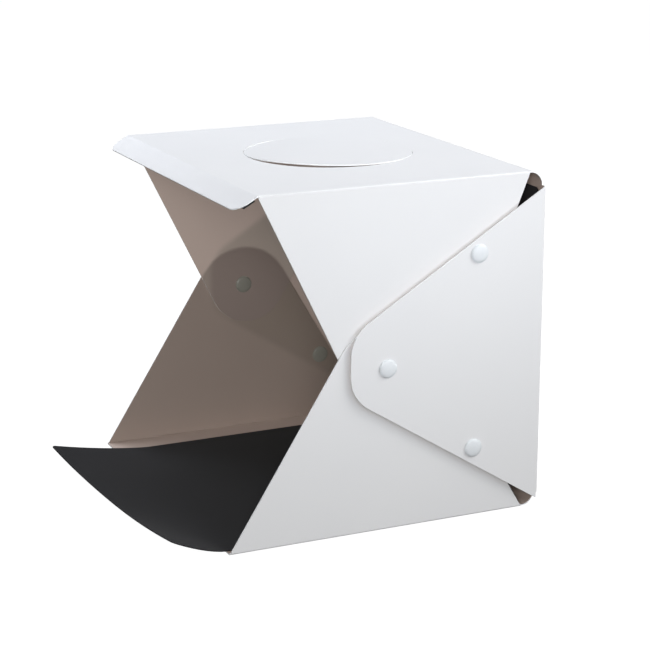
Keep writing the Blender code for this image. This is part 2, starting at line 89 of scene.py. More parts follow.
# Sizes read from the frame
roof_low, roof_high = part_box("roof_panel")
base_low, base_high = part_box("base_panel")
back_low, back_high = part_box("back_panel")
bend_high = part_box("rear_bottom_bend")[1]
roof_flap_low, roof_flap_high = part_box("roof_flap_right")
bottom_flap_low, bottom_flap_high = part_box("bottom_flap_right")
back_flap_low, back_flap_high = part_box("back_flap_right")

HEIGHT = roof_high.z
FRONT = base_low.y
REAR = back_high.y
DEPTH = REAR - FRONT
HALF_WIDTH = roof_high.x
ROOF_FRONT = roof_low.y
FLAT_REAR = base_high.y
SHEET = base_high.z
BEND_RADIUS = bend_high.z
ROOF_FLAP_TOP = roof_flap_high.z
ROOF_FLAP_X = (roof_flap_low.x + roof_flap_high.x) / 2
BOTTOM_FLAP_X = (bottom_flap_low.x + bottom_flap_high.x) / 2
BACK_FLAP_X = (back_flap_low.x + back_flap_high.x) / 2
ROOF_MIDDLE_Z = HEIGHT - SHEET / 2
GAP = 0.3 * MM

# Flap outlines as shares of the depth, from its middle, and of the height
ROOF_FLAP_HEEL_SHARES = (0.417, 0.903)
ROOF_FLAP_TIP_SHARES = (-0.002, 0.2114)
BOTTOM_FLAP_REAR_SHARE = 0.4525
BOTTOM_FLAP_TIP_SHARES = (-0.007, 0.753)
BACK_FLAP_ROOT_SHARES = (0.022, 0.959)
BACK_FLAP_NOSE_SHARE = -0.1267
BACK_FLAP_NOSE_HEIGHT_SHARES = (0.406, 0.586)
ROOF_FLAP_TIP_RADIUS = 30.0 * MM
BOTTOM_FLAP_TIP_RADIUS = 36.5 * MM
BACK_FLAP_NOSE_RADIUS = 26.0 * MM
APEX_SNAP_SHARES = (-0.0104, 0.483)
LOWER_SNAP_SHARES = (0.2733, 0.2118)
UPPER_SNAP_SHARES = (0.2824, 0.784)

# Press studs
CAP_RADIUS = 6.2 * MM
CAP_RIM = 0.5 * MM
CAP_DOME = 1.2 * MM
POST_RADIUS = 1.9 * MM
POST_LENGTH = SHEET + GAP
STUD_BASE_RADIUS = 4.8 * MM
STUD_BASE_DEPTH = 0.5 * MM
NUB_RADIUS = 1.8 * MM
NUB_ROUND = 0.7 * MM
SOCKET_RADIUS = 5.1 * MM
SOCKET_BORE = 2.8 * MM
SOCKET_DEPTH = 1.0 * MM
POST_HOLE_RADIUS = POST_RADIUS + GAP
PASS_HOLE_RADIUS = 7.4 * MM

# Lip, roof window and its cover
LIP_RUN = 16.8 * MM
LIP_DROOP = math.radians(29.0)
LIP_CORNER_RADIUS = 10.0 * MM
LIP_CREASE_Y = ROOF_FRONT - GAP / 2
WINDOW_CENTRE_Y = 12.4 * MM
COVER_RADIUS = 57.0 * MM
COVER_CREASE_LENGTH = 40.0 * MM
COVER_LIFT = math.radians(1.2)
COVER_CHORD = math.sqrt(COVER_RADIUS**2 - (COVER_CREASE_LENGTH / 2) ** 2)
COVER_CREASE_Y = WINDOW_CENTRE_Y + COVER_CHORD - GAP / 2
COVER_DROOP = 2.5 * MM
COVER_DROOP_WAY = (-0.6, -0.8)
COVER_DROOP_LINES = 14

# Light bar
BAR_LENGTH = 216.0 * MM
BAR_WIDTH = 8.5 * MM
BAR_SETBACK = 1.0 * MM
TAPE_THICKNESS = 0.3 * MM
TAPE_MARGIN = 1.0 * MM
TRAY_DEPTH = 3.4 * MM
TRAY_WALL = 0.6 * MM
BOARD_THICKNESS = 0.8 * MM
LED_COUNT = 20
LEDS_PER_RESISTOR = 5
LED_LENGTH = 3.5 * MM
LED_WIDTH = 2.8 * MM
LED_THICKNESS = 0.6 * MM
WELL_RADIUS = 1.1 * MM
WELL_DEPTH = 0.3 * MM
DIFFUSER_THICKNESS = 0.5 * MM
END_CAP_LENGTH = 2.2 * MM
INLET_WIDTH = 5.6 * MM
INLET_HEIGHT = 1.8 * MM
INLET_PROUD = 0.4 * MM
INLET_WALL = 0.3 * MM
INLET_FLOOR = 0.8 * MM
LEDGE_DEPTH = 0.2 * MM
LEDGE_CLEARANCE = 0.1 * MM
GROOVE_SHARES = (0.35, 0.6)
GROOVE_DEPTH = 0.18 * MM
GROOVE_HEIGHT = 0.3 * MM

# Backdrop sheet
BACKDROP_WIDTH = 211.0 * MM
BACKDROP_LENGTH = 456.0 * MM
BACKDROP_SHIFT = 9.3 * MM
BACKDROP_THICKNESS = 0.6 * MM
BACKDROP_TOP_DROP = 12.0 * MM
BACKDROP_SWEEP_RADIUS = 50.0 * MM
BACKDROP_OVERHANG = 43.0 * MM
BACKDROP_SKEW = 6.5 * MM
BACKDROP_RISE_START = 25.5 * MM
BACKDROP_RISE = 5.5 * MM
BACKDROP_CORNER_RISE = 6.0 * MM
BACKDROP_CORNER_RADIUS = 3.0 * MM
BACKDROP_RIPPLE = 0.4 * MM
RIPPLE_ACROSS = 4.2
RIPPLE_ALONG = 9.0
RISE_POWER = 1.5

# Painted daylight through the sheets, and the half width of the soft edge of a flap's painted shade
BEHIND_BOTTOM = "bottom_flap_behind"
BEHIND_BACK = "back_flap_behind"
DAYLIT = "daylight_behind"
BACK_DAYLIGHT = 0.6
BASE_DAYLIGHT = 0.45
NEAR_SOFT = 1.6 * MM
FAR_SOFT = 3.2 * MM

# Node kinds, and the sockets of a colour mix
NOISE = "ShaderNodeTexNoise"
CELLS = "ShaderNodeTexVoronoi"
MIX = "ShaderNodeMix"
BUMP = "ShaderNodeBump"
RANGE = "ShaderNodeMapRange"
SHARE, LOW, HIGH = 0, 6, 7
MIXED = 2

# Fineness of the modelling
CORNER_STEPS = 14
SOFT_STEPS = 8
DISC_STEPS = 84
HOLE_STEPS = 32
DOME_STEPS = 9
TURNED_STEPS = 40
DIODE_STEPS = 24
CREASE_STEPS = 8
REAR_FOLD_STEPS = 18
BACKDROP_COLUMNS = 44
BACKDROP_ROWS = 96
FOLD_REACH = 0.75 * MM
CUT_EDGE_ROUND = 0.14 * MM
WELD_DISTANCE = 0.001 * MM
SQUARE_ON = 0.9
FACING = 0.8
SHARP_ANGLE = math.radians(55.0)
SMOOTH_ANGLE = math.radians(35.0)
FLAT_SMOOTH_ANGLE = math.radians(20.0)

SIDES = {"right": 1, "left": -1}


def srgb(text):
    """Linear colour from an sRGB hex value."""
    shares = [int(text[i:i + 2], 16) / 255 for i in (1, 3, 5)]
    return tuple(c / 12.92 if c <= 0.04045 else ((c + 0.055) / 1.055) ** 2.4 for c in shares) + (1.0,)


# Materials

def fill(tree, node, inputs):
    """Fill a node's sockets with numbers and colours, or with links from other sockets."""
    for key, value in inputs.items():
        if isinstance(value, bpy.types.NodeSocket):
            tree.links.new(value, node.inputs[key])
        else:
            node.inputs[key].default_value = value


def add(tree, kind, inputs, output=0, **settings):
    """Add a node, set its properties, fill its sockets, and give one of its outputs."""
    node = tree.nodes.new(kind)
    for key, value in settings.items():
        setattr(node, key, value)
    fill(tree, node, inputs)
    return node.outputs[output]


def start_material(name):
    """A new material with its node tree and its shader."""
    material = bpy.data.materials.new(name)
    material.use_nodes = True
    tree = material.node_tree
    return material, tree, tree.nodes["Principled BSDF"]


def start_pattern(name):
    """A new material, and with it the place on the object that its patterns read."""
    material, tree, shader = start_material(name)
    return material, tree, shader, add(tree, "ShaderNodeTexCoord", {}, "Object")


def every(millimetres):
    """Texture scale that gives one feature in so many millimetres."""
    return 1.0 / (millimetres * MM)


def sheet_surface(tree, place):
    """Bump of frosted extruded sheet: a fine sandy grain over long, faint draw lines.

    Both are finer on the real sheet, and are drawn this coarse so that they show.
    """
    grain = add(tree, NOISE, {"Vector": place, "Scale": every(0.9), "Detail": 2.0})
    drawn = add(tree, "ShaderNodeMapping", {"Vector": place, "Scale": (0.04, 0.04, 1.0)})
    lines = add(tree, NOISE, {"Vector": drawn, "Scale": every(2.2), "Detail": 1.0})
    sandy = add(tree, BUMP, {"Height": grain, "Strength": 0.12, "Distance": 0.05 * MM})
    return add(tree, BUMP, {"Height": lines, "Strength": 0.25, "Distance": 0.04 * MM, "Normal": sandy})


def frosted_outer_face():
    """Extruded white polypropylene, matt on its outer face: cool white, softly shiny, never a mirror."""
    material, tree, shader, place = start_pattern("frosted white polypropylene")
    cloudy = add(tree, NOISE, {"Vector": place, "Scale": every(70), "Detail": 3.0})
    colour = add(tree, MIX, {SHARE: cloudy, LOW: srgb("#E2E2E3"), HIGH: srgb("#E6E6E6")}, MIXED,
                 data_type="RGBA")
    worn = add(tree, NOISE, {"Vector": place, "Scale": every(14), "Detail": 4.0})
    rough = add(tree, RANGE, {"Value": worn, "To Min": 0.46, "To Max": 0.56})
    fill(tree, shader, {"Base Color": colour, "Roughness": rough, "IOR": 1.49,
                        "Normal": sheet_surface(tree, place)})
    return material


def frosted_cut_edge():
    """Die-cut edge of the same sheet, brighter than its faces in painted light: a lighter white and a faint
    glow stand for light that runs through the sheet to it.
    """
    material, tree, shader, place = start_pattern("cut edge of polypropylene with painted glow")
    burr = add(tree, NOISE, {"Vector": place, "Scale": every(0.4), "Detail": 2.0})
    # Painted light: a lighter white than the faces stands for light carried through the sheet
    colour = add(tree, MIX, {SHARE: burr, LOW: srgb("#EDEFF0"), HIGH: srgb("#F6F7F8")}, MIXED,
                 data_type="RGBA")
    fill(tree, shader, {"Base Color": colour, "Roughness": 0.6, "IOR": 1.49,
                        "Emission Color": srgb("#FFFFFF"), "Emission Strength": EDGE_PAINTED_GLOW})
    return material


def shaded_inner_face():
    """The same sheet's inner face: a warm grey of painted shade, lighter where painted daylight comes through
    a single layer.

    The daylight is a painted glow of the face's own, and the grey is painted darker where flaps lie behind.
    The glow is dimmer where the back flap lies behind, dimmer still behind the bottom flap, and gone where
    both do.
    The stored attributes say so for the box set up.
    """
    material, tree, shader, place = start_pattern("polypropylene inner face in painted shade")
    daylit, *stored = [add(tree, "ShaderNodeAttribute", {}, "Fac", attribute_name=name)
                       for name in (DAYLIT, BEHIND_BOTTOM, BEHIND_BACK)]
    bottom, back = [add(tree, RANGE, {"Value": share}, interpolation_type="SMOOTHSTEP") for share in stored]
    either = add(tree, "ShaderNodeMath", {0: bottom, 1: back}, operation="MAXIMUM")
    both = add(tree, "ShaderNodeMath", {0: bottom, 1: back}, operation="MINIMUM")

    # Painted shade: the warm grey darkens where one flap lies behind, and again where both do
    layered_shade = srgb("#B3A297")
    for share, deeper_shade in ((either, "#A6978B"), (both, "#A6968E")):
        layered_shade = add(tree, MIX, {SHARE: share, LOW: layered_shade, HIGH: srgb(deeper_shade)}, MIXED, data_type="RGBA")
    cloudy = add(tree, NOISE, {"Vector": place, "Scale": every(55), "Detail": 3.0})
    tone = add(tree, RANGE, {"Value": cloudy, "To Min": 0.97, "To Max": 1.03})
    colour = add(tree, "ShaderNodeVectorMath", {0: layered_shade, "Scale": tone}, operation="SCALE")

    # Painted daylight glow: dimmer behind the back flap, dimmer still behind the bottom flap, none behind
    # both
    glow = srgb("#685E59")
    for share, dimmer in ((back, "#524D49"), (bottom, "#393534"), (both, "#000000")):
        glow = add(tree, MIX, {SHARE: share, LOW: glow, HIGH: srgb(dimmer)}, MIXED, data_type="RGBA")
    glow = add(tree, MIX, {SHARE: daylit, LOW: srgb("#000000"), HIGH: glow}, MIXED, data_type="RGBA")
    fill(tree, shader, {"Base Color": colour, "Roughness": 0.6, "IOR": 1.49, "Emission Color": glow,
                        "Emission Strength": 1.0, "Normal": sheet_surface(tree, place)})
    return material


def moulded_resin(name, low, high, glow=0.0):
    """Injection-moulded resin of the press studs: smoother than the sheet, with a faint sheen.

    The mould's spark texture is finer on the real studs, and is drawn at 0.5 mm so that it shows.
    The argument glow sets a painted glow in the high colour, which stands for daylight through the sheet
    behind.
    """
    material, tree, shader, place = start_pattern(name)
    mottle = add(tree, NOISE, {"Vector": place, "Scale": every(3), "Detail": 3.0})
    colour = add(tree, MIX, {SHARE: mottle, LOW: srgb(low), HIGH: srgb(high)}, MIXED, data_type="RGBA")
    spark = add(tree, NOISE, {"Vector": place, "Scale": every(0.5), "Detail": 2.0})
    bump = add(tree, BUMP, {"Height": spark, "Strength": 0.08, "Distance": 0.04 * MM})
    fill(tree, shader, {"Base Color": colour, "Roughness": 0.34, "IOR": 1.5, "Normal": bump,
                        "Emission Color": srgb(high), "Emission Strength": glow})
    return material


def textured_black_plastic():
    """Spark-textured black ABS of the light bar's tray and ends: near black, dull highlights.

    The texture is finer on a real moulding, and is drawn at 0.35 mm so that it shows close up.
    """
    material, tree, shader, place = start_pattern("textured black ABS")
    cells = add(tree, CELLS, {"Vector": place, "Scale": every(0.35)}, "Distance")
    colour = add(tree, MIX, {SHARE: cells, LOW: srgb("#151516"), HIGH: srgb("#1E1E20")}, MIXED,
                 data_type="RGBA")
    bump = add(tree, BUMP, {"Height": cells, "Strength": 0.3, "Distance": 0.03 * MM})
    fill(tree, shader, {"Base Color": colour, "Roughness": 0.5, "IOR": 1.53, "Normal": bump})
    return material


def foam_tape():
    """Grey closed-cell foam tape: dull, with fine open bubbles at its cut edge."""
    material, tree, shader, place = start_pattern("grey foam tape")
    bubbles = add(tree, CELLS, {"Vector": place, "Scale": every(0.25)}, "Distance")
    colour = add(tree, MIX, {SHARE: bubbles, LOW: srgb("#6E6E6D"), HIGH: srgb("#979796")}, MIXED,
                 data_type="RGBA")
    bump = add(tree, BUMP, {"Height": bubbles, "Strength": 0.6, "Distance": 0.05 * MM})
    fill(tree, shader, {"Base Color": colour, "Roughness": 0.92, "Normal": bump})
    return material


def solder_mask():
    """White solder mask over fibreglass: slightly glossy, with the weave just felt below it."""
    material, tree, shader, place = start_pattern("white solder mask")
    weave = add(tree, "ShaderNodeTexWave", {"Vector": place, "Scale": every(0.8), "Distortion": 0.4}, "Fac",
                bands_direction="X")
    speck = add(tree, NOISE, {"Vector": place, "Scale": every(2), "Detail": 3.0})
    colour = add(tree, MIX, {SHARE: speck, LOW: srgb("#D8DBD8"), HIGH: srgb("#E6E8E4")}, MIXED,
                 data_type="RGBA")
    bump = add(tree, BUMP, {"Height": weave, "Strength": 0.1, "Distance": 0.02 * MM})
    fill(tree, shader, {"Base Color": colour, "Roughness": 0.32, "IOR": 1.52, "Normal": bump})
    return material


def diode_phosphor():
    """Silicone dome over the diode: pale yellow phosphor, cloudy in depth."""
    material, tree, shader, place = start_pattern("yellow diode phosphor")
    cloud = add(tree, NOISE, {"Vector": place, "Scale": every(0.6), "Detail": 2.0})
    colour = add(tree, MIX, {SHARE: cloud, LOW: srgb("#E8C84E"), HIGH: srgb("#F2DC78")}, MIXED,
                 data_type="RGBA")
    fill(tree, shader, {"Base Color": colour, "Roughness": 0.25, "IOR": 1.41, "Coat Weight": 0.3})
    return material


def tinned_solder():
    """Reflowed solder: bright grey with a fine frozen grain."""
    material, tree, shader, place = start_pattern("tinned solder")
    grain = add(tree, NOISE, {"Vector": place, "Scale": every(0.3), "Detail": 3.0})
    rough = add(tree, RANGE, {"Value": grain, "To Min": 0.25, "To Max": 0.5})
    colour = add(tree, MIX, {SHARE: grain, LOW: srgb("#A9ABAC"), HIGH: srgb("#C9CBCC")}, MIXED,
                 data_type="RGBA")
    fill(tree, shader, {"Base Color": colour, "Metallic": 1.0, "Roughness": rough})
    return material


def frosted_strip():
    """Frosted polycarbonate strip over the diodes: milky, with light passing through it."""
    material, tree, shader, place = start_pattern("frosted polycarbonate")
    milk = add(tree, NOISE, {"Vector": place, "Scale": every(1.2), "Detail": 3.0})
    colour = add(tree, MIX, {SHARE: milk, LOW: srgb("#E2E7EE"), HIGH: srgb("#EDF1F5")}, MIXED,
                 data_type="RGBA")
    bump = add(tree, BUMP, {"Height": milk, "Strength": 0.15, "Distance": 0.05 * MM})
    fill(tree, shader, {"Base Color": colour, "Roughness": 0.55, "IOR": 1.58,
                        "Transmission Weight": 0.25, "Normal": bump})
    return material


def plated_steel():
    """Nickel-plated sheet steel of the inlet's shell: bright, with faint drawing marks."""
    material, tree, shader, place = start_pattern("nickel-plated steel")
    drawn = add(tree, "ShaderNodeMapping", {"Vector": place, "Scale": (0.1, 1.0, 1.0)})
    marks = add(tree, NOISE, {"Vector": drawn, "Scale": every(0.2), "Detail": 3.0})
    rough = add(tree, RANGE, {"Value": marks, "To Min": 0.18, "To Max": 0.38})
    colour = add(tree, MIX, {SHARE: marks, LOW: srgb("#B7B5B0"), HIGH: srgb("#CFCDC8")}, MIXED,
                 data_type="RGBA")
    fill(tree, shader, {"Base Color": colour, "Metallic": 1.0, "Roughness": rough})
    return material


def black_felt():
    """Thin pressed black felt: fibres lie every way, so it is dead matt with a soft grey bloom.

    Real fibres are far finer, and their tangle is drawn at 0.8 mm so that it shows.
    """
    material, tree, shader, place = start_pattern("pressed black felt")
    fibre = add(tree, NOISE, {"Vector": place, "Scale": every(0.8), "Detail": 6.0, "Roughness": 0.7,
                              "Distortion": 1.5})
    patches = add(tree, NOISE, {"Vector": place, "Scale": every(45), "Detail": 2.0})
    mixed = add(tree, "ShaderNodeMath", {0: fibre, 1: 0.7, 2: patches}, operation="MULTIPLY_ADD")
    factor = add(tree, RANGE, {"Value": mixed, "From Min": 0.5, "From Max": 1.2})
    colour = add(tree, MIX, {SHARE: factor, LOW: srgb("#0E0D10"), HIGH: srgb("#151418")}, MIXED,
                 data_type="RGBA")
    bump = add(tree, BUMP, {"Height": fibre, "Strength": 0.5, "Distance": 0.12 * MM})
    fill(tree, shader, {"Base Color": colour, "Roughness": 0.95, "Sheen Weight": 0.08,
                        "Sheen Roughness": 0.6, "Specular IOR Level": 0.1, "Normal": bump})
    return material


def lit_table():
    """White acrylic shooting table, lit from below."""
    material, tree, shader = start_material("lit white acrylic table")
    fill(tree, shader, {"Base Color": srgb("#5A5A5A"), "Roughness": 0.9, "Specular IOR Level": 0.1,
                        "Emission Color": srgb("#FFFFFF"), "Emission Strength": FLOOR_GLOW})
    return material


outer_white = frosted_outer_face()
edge_painted_glow = frosted_cut_edge()
inner_painted_shade = shaded_inner_face()
stud_resin = moulded_resin("moulded white resin", "#DDE1E4", "#E6E9EB")
# Painted shade: the white stud resin darkened to grey-green for the caps inside the box, with a painted glow
painted_shade_resin = moulded_resin("moulded resin in painted shade", "#7C7B73", "#86847B", INNER_CAP_PAINTED_GLOW)
bar_black = textured_black_plastic()
tape_grey = foam_tape()
board_white = solder_mask()
phosphor = diode_phosphor()
solder = tinned_solder()
strip_frosted = frosted_strip()
inlet_steel = plated_steel()
felt_black = black_felt()


# Modelling helpers

def deselect():
    bpy.ops.object.select_all(action="DESELECT")


def select_only(piece):
    deselect()
    piece.select_set(True)
    bpy.context.view_layer.objects.active = piece


def named(name):
    """Name the object that an operator has just added."""
    piece = bpy.context.object
    piece.name = name
    piece.data.name = name
    return piece


def settle(piece, place):
    """Put a piece at its place and write that place into its mesh."""
    piece.matrix_world = place
    select_only(piece)
    bpy.ops.object.transform_apply(location=True, rotation=True, scale=True)
    return piece


def copy_of(piece, name):
    """A copy with its own mesh."""
    twin = piece.copy()
    twin.data = piece.data.copy()
    twin.name = name
    twin.data.name = name
    bpy.context.scene.collection.objects.link(twin)
    return twin


def remove(*pieces):
    for piece in pieces:
        bpy.data.objects.remove(piece, do_unlink=True)


def join(name, pieces):
    """Make one object of several."""
    select_only(pieces[0])
    for piece in pieces[1:]:
        piece.select_set(True)
    bpy.ops.object.join()
    return named(name)


def modify(piece, kind, settings):
    """Add a modifier and apply it at once."""
    modifier = piece.modifiers.new(kind.lower(), kind)
    for key, value in settings.items():
        setattr(modifier, key, value)
    select_only(piece)
    bpy.ops.object.modifier_apply(modifier=modifier.name)


def cut_away(piece, cutters):
    """Cut other objects out of a piece and remove them."""
    for cutter in cutters:
        modify(piece, "BOOLEAN", {"operation": "DIFFERENCE", "solver": "EXACT", "object": cutter})
        remove(cutter)


def edit(piece):
    """Open a piece in edit mode with all of it selected."""
    select_only(piece)
    bpy.ops.object.mode_set(mode="EDIT")
    bpy.ops.mesh.select_all(action="SELECT")


def leave_edit():
    bpy.ops.object.mode_set(mode="OBJECT")


def pick(piece, kind, wanted):
    """Select, in edit mode, the vertices, edges or faces that pass a test, and nothing else."""
    leave_edit()
    mesh = piece.data
    lists = {"VERT": mesh.vertices, "EDGE": mesh.edges, "FACE": mesh.polygons}
    for items in lists.values():
        items.foreach_set("select", [False] * len(items))
    for item in lists[kind]:
        item.select = wanted(item)
    bpy.context.tool_settings.mesh_select_mode = [kind == word for word in lists]
    bpy.ops.object.mode_set(mode="EDIT")


def face_outward(piece):
    """Merge doubles and turn every face outward."""
    edit(piece)
    bpy.ops.mesh.remove_doubles(threshold=WELD_DISTANCE)
    bpy.ops.mesh.normals_make_consistent(inside=False)
    leave_edit()


def smooth(piece, angle=SMOOTH_ANGLE):
    select_only(piece)
    bpy.ops.object.shade_smooth_by_angle(angle=angle)


def soften(piece, width, segments=2, kept=lambda point: False):
    """Round a piece's sharp edges, except those whose two ends are both kept."""
    edit(piece)
    bpy.context.tool_settings.mesh_select_mode = (False, True, False)
    bpy.ops.mesh.select_all(action="DESELECT")
    bpy.ops.mesh.edges_select_sharp(sharpness=SHARP_ANGLE)
    leave_edit()
    points = piece.data.vertices
    rounded_edges = [edge.select and not all(kept(points[v].co) for v in edge.vertices)
                     for edge in piece.data.edges]
    pick(piece, "EDGE", lambda edge: rounded_edges[edge.index])
    bpy.ops.mesh.bevel(offset=width, segments=segments, affect="EDGES", clamp_overlap=False)
    leave_edit()


def block(name, low, high):
    """A cube set between two corners."""
    deselect()
    bpy.ops.mesh.primitive_cube_add(size=1)
    piece = named(name)
    size = Vector(high) - Vector(low)
    middle = (Vector(high) + Vector(low)) / 2
    return settle(piece, Matrix.Translation(middle) @ Matrix.Diagonal((*size, 1)))


def turned(name, rings, segments=TURNED_STEPS, closed=True):
    """Solid of revolution about Z, extruded ring by ring through (radius, height), from the bottom up."""
    deselect()
    first_radius, first_height = rings[0]
    bpy.ops.mesh.primitive_circle_add(vertices=segments, radius=first_radius, fill_type="NGON",
                                      location=(0, 0, first_height))
    piece = named(name)
    settle(piece, piece.matrix_world.copy())
    edit(piece)
    for (r, h), (next_r, next_h) in zip(rings, rings[1:]):
        bpy.ops.mesh.extrude_region_move(TRANSFORM_OT_translate={"value": (0, 0, next_h - h)})
        if next_r != r:
            scale = next_r / r
            bpy.ops.transform.resize(value=(scale, scale, 1), center_override=(0, 0, next_h))
    if not closed:
        close_bore(piece)
    leave_edit()
    face_outward(piece)
    return piece


def close_bore(piece):
    """Open both ends of a turned piece and bridge its first ring to its last."""
    pick(piece, "FACE", lambda face: len(face.vertices) > 4)
    bpy.ops.mesh.delete(type="ONLY_FACE")
    bpy.ops.mesh.select_mode(type="EDGE")
    bpy.ops.mesh.select_all(action="DESELECT")
    bpy.ops.mesh.select_non_manifold(use_wire=False, use_multi_face=False, use_non_contiguous=False,
                                     use_verts=False)
    bpy.ops.mesh.bridge_edge_loops()


def paint(piece, *materials):
    piece.data.materials.clear()
    for material in materials:
        piece.data.materials.append(material)


def two_faces(piece, inward):
    """Inner face in painted shade on the faces that point along inward(face centre), outer white behind,
    edges in painted glow.
    """
    paint(piece, outer_white, inner_painted_shade, edge_painted_glow)
    for face in piece.data.polygons:
        facing = face.normal.dot(inward(face.center))
        face.material_index = 1 if facing > FACING else 0 if facing < -FACING else 2


def dress(piece, body, node):
    """Hang a finished piece on its body in place of the frame's own node."""
    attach(piece, body)
    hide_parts(node)


# Cut sheets

def share_point(shares):
    return (shares[0] * DEPTH, shares[1] * HEIGHT)


def rounded(corners, steps=CORNER_STEPS):
    """Outline through (a, b, radius) corners, anticlockwise, each rounded by an arc of that radius."""
    points = []
    for i, (a, b, radius) in enumerate(corners):
        here = Vector((a, b))
        if radius == 0:
            points.append(tuple(here))
            continue
        before = (Vector(corners[i - 1][:2]) - here).normalized()
        after = (Vector(corners[(i + 1) % len(corners)][:2]) - here).normalized()
        half = before.angle(after) / 2
        centre = here + (before + after).normalized() * radius / math.sin(half)
        start = here + before * radius / math.tan(half) - centre
        end = here + after * radius / math.tan(half) - centre
        first = math.atan2(start.y, start.x)
        sweep = math.remainder(math.atan2(end.y, end.x) - first, 2 * math.pi)
        for step in range(steps + 1):
            angle = first + sweep * step / steps
            points.append((centre.x + radius * math.cos(angle), centre.y + radius * math.sin(angle)))
    doubled_area = sum(a[0] * b[1] - b[0] * a[1] for a, b in zip(points, points[1:] + points[:1]))
    return points if doubled_area > 0 else points[::-1]


def edge_lines(outline, offset=0.0):
    """(point, outward normal) of each straight stretch of an outline, moved outward by offset."""
    lines = []
    for start, end in zip(outline, outline[1:] + outline[:1]):
        along = Vector(end) - Vector(start)
        normal = Vector((along.y, -along.x)).normalized()
        lines.append((Vector(start) + normal * offset, normal))
    return lines


def slice_through(lines, clear):
    """Cut everything along upright planes through (point, normal) lines, and clear what lies outside."""
    for point, normal in lines:
        bpy.ops.mesh.select_all(action="SELECT")
        bpy.ops.mesh.bisect(plane_co=(*point, 0), plane_no=(*normal, 0), clear_outer=clear,
                            threshold=WELD_DISTANCE)


def cut_sheet(name, outline, place, holes=(), creases=(), lines=()):
    """A sheet cut to a convex outline, with its middle plane at height 0 of place.

    holes are (a, b, radius). At a crease, a (point, normal), the sheet ends with a square edge, because a
    fold goes on from it. lines only add edges across the sheet.
    """
    low = Vector((min(p[0] for p in outline), min(p[1] for p in outline)))
    high = Vector((max(p[0] for p in outline), max(p[1] for p in outline)))
    size = high - low
    middle = (low + high) / 2
    deselect()
    bpy.ops.mesh.primitive_plane_add(size=1)
    piece = named(name)
    settle(piece, Matrix.Translation((*middle, 0)) @ Matrix.Diagonal((*size, 1, 1)))
    edit(piece)
    slice_through(edge_lines(outline), True)
    slice_through(creases, True)
    leave_edit()
    modify(piece, "SOLIDIFY", {"thickness": SHEET, "offset": 0})
    cut_away(piece, [hole_cutter(*hole) for hole in holes])
    finish_cut(piece, creases, lines)
    return settle(piece, place)


def hole_cutter(a, b, radius):
    deselect()
    bpy.ops.mesh.primitive_cylinder_add(vertices=HOLE_STEPS, radius=radius, depth=4 * SHEET,
                                        location=(a, b, 0))
    return named("hole")


def finish_cut(piece, creases, lines):
    """Round the die-cut edges but not those that a fold goes on from, and add the extra lines."""
    def at_crease(point):
        return any(abs((Vector(point[:2]) - Vector(at)).dot(Vector(normal))) < WELD_DISTANCE
                   for at, normal in creases)

    soften(piece, CUT_EDGE_ROUND, kept=at_crease)
    edit(piece)
    slice_through(lines, False)
    leave_edit()


def side_place(x):
    """Turn a sheet drawn as (y, z) into the upright plane at x."""
    return Matrix.Translation((x, 0, 0)) @ Matrix(((0, 0, 1, 0), (1, 0, 0, 0), (0, 1, 0, 0), (0, 0, 0, 1)))


def holes_at(radius, *places):
    return [(*share_point(shares), radius) for shares in places]


def mark_whole(piece, attribute_name, value):
    """Store one value at every point of a sheet."""
    attribute = piece.data.attributes.new(attribute_name, "FLOAT", "POINT")
    attribute.data.foreach_set("value", [value] * len(piece.data.vertices))


def mark_behind(piece, attribute_name, outline, soft):
    """Store how far each point has the outlined flap behind it, from 0 to 1 across its soft edge."""
    lines = edge_lines(outline)
    attribute = piece.data.attributes.new(attribute_name, "FLOAT", "POINT")
    for vertex, stored in zip(piece.data.vertices, attribute.data):
        here = Vector((vertex.co.y, vertex.co.z))
        outside = max((here - point).dot(normal) for point, normal in lines)
        stored.value = min(1.0, max(0.0, 0.5 - outside / (2 * soft)))


def soft_edge_lines(outline, soft):
    return edge_lines(outline, soft) + edge_lines(outline, -soft)


def flap_corners():
    """Corners of the roof, bottom and back flaps, as (y, z, rounding radius)."""
    roof = [(ROOF_FRONT, ROOF_FLAP_TOP, 0),
            (*share_point(ROOF_FLAP_TIP_SHARES), ROOF_FLAP_TIP_RADIUS),
            (*share_point(ROOF_FLAP_HEEL_SHARES), 0),
            (FLAT_REAR, ROOF_FLAP_TOP, 0)]
    bottom = [(FRONT, 0, 0),
              (BOTTOM_FLAP_REAR_SHARE * DEPTH, 0, 0),
              (*share_point(BOTTOM_FLAP_TIP_SHARES), BOTTOM_FLAP_TIP_RADIUS)]
    nose_y = BACK_FLAP_NOSE_SHARE * DEPTH
    back = [(REAR, BACK_FLAP_ROOT_SHARES[0] * HEIGHT, 0),
            (REAR, BACK_FLAP_ROOT_SHARES[1] * HEIGHT, 0),
            (nose_y, BACK_FLAP_NOSE_HEIGHT_SHARES[1] * HEIGHT, BACK_FLAP_NOSE_RADIUS),
            (nose_y, BACK_FLAP_NOSE_HEIGHT_SHARES[0] * HEIGHT, BACK_FLAP_NOSE_RADIUS)]
    return roof, bottom, back


def finish_sheet(piece, body, node, inward):
    two_faces(piece, lambda centre: Vector(inward))
    smooth(piece, FLAT_SMOOTH_ANGLE)
    dress(piece, body, node)


def oblong(half_width, low, high):
    """Outline from low to high, as wide on either side of the middle."""
    return rounded([(-half_width, low, 0), (half_width, low, 0), (half_width, high, 0),
                    (-half_width, high, 0)])


def side_creases(flap_x):
    """Where a panel ends on its left and right, because the folds to its flaps go on from it."""
    x = flap_x - FOLD_REACH
    return [((x, 0), (1, 0)), ((-x, 0), (-1, 0))]


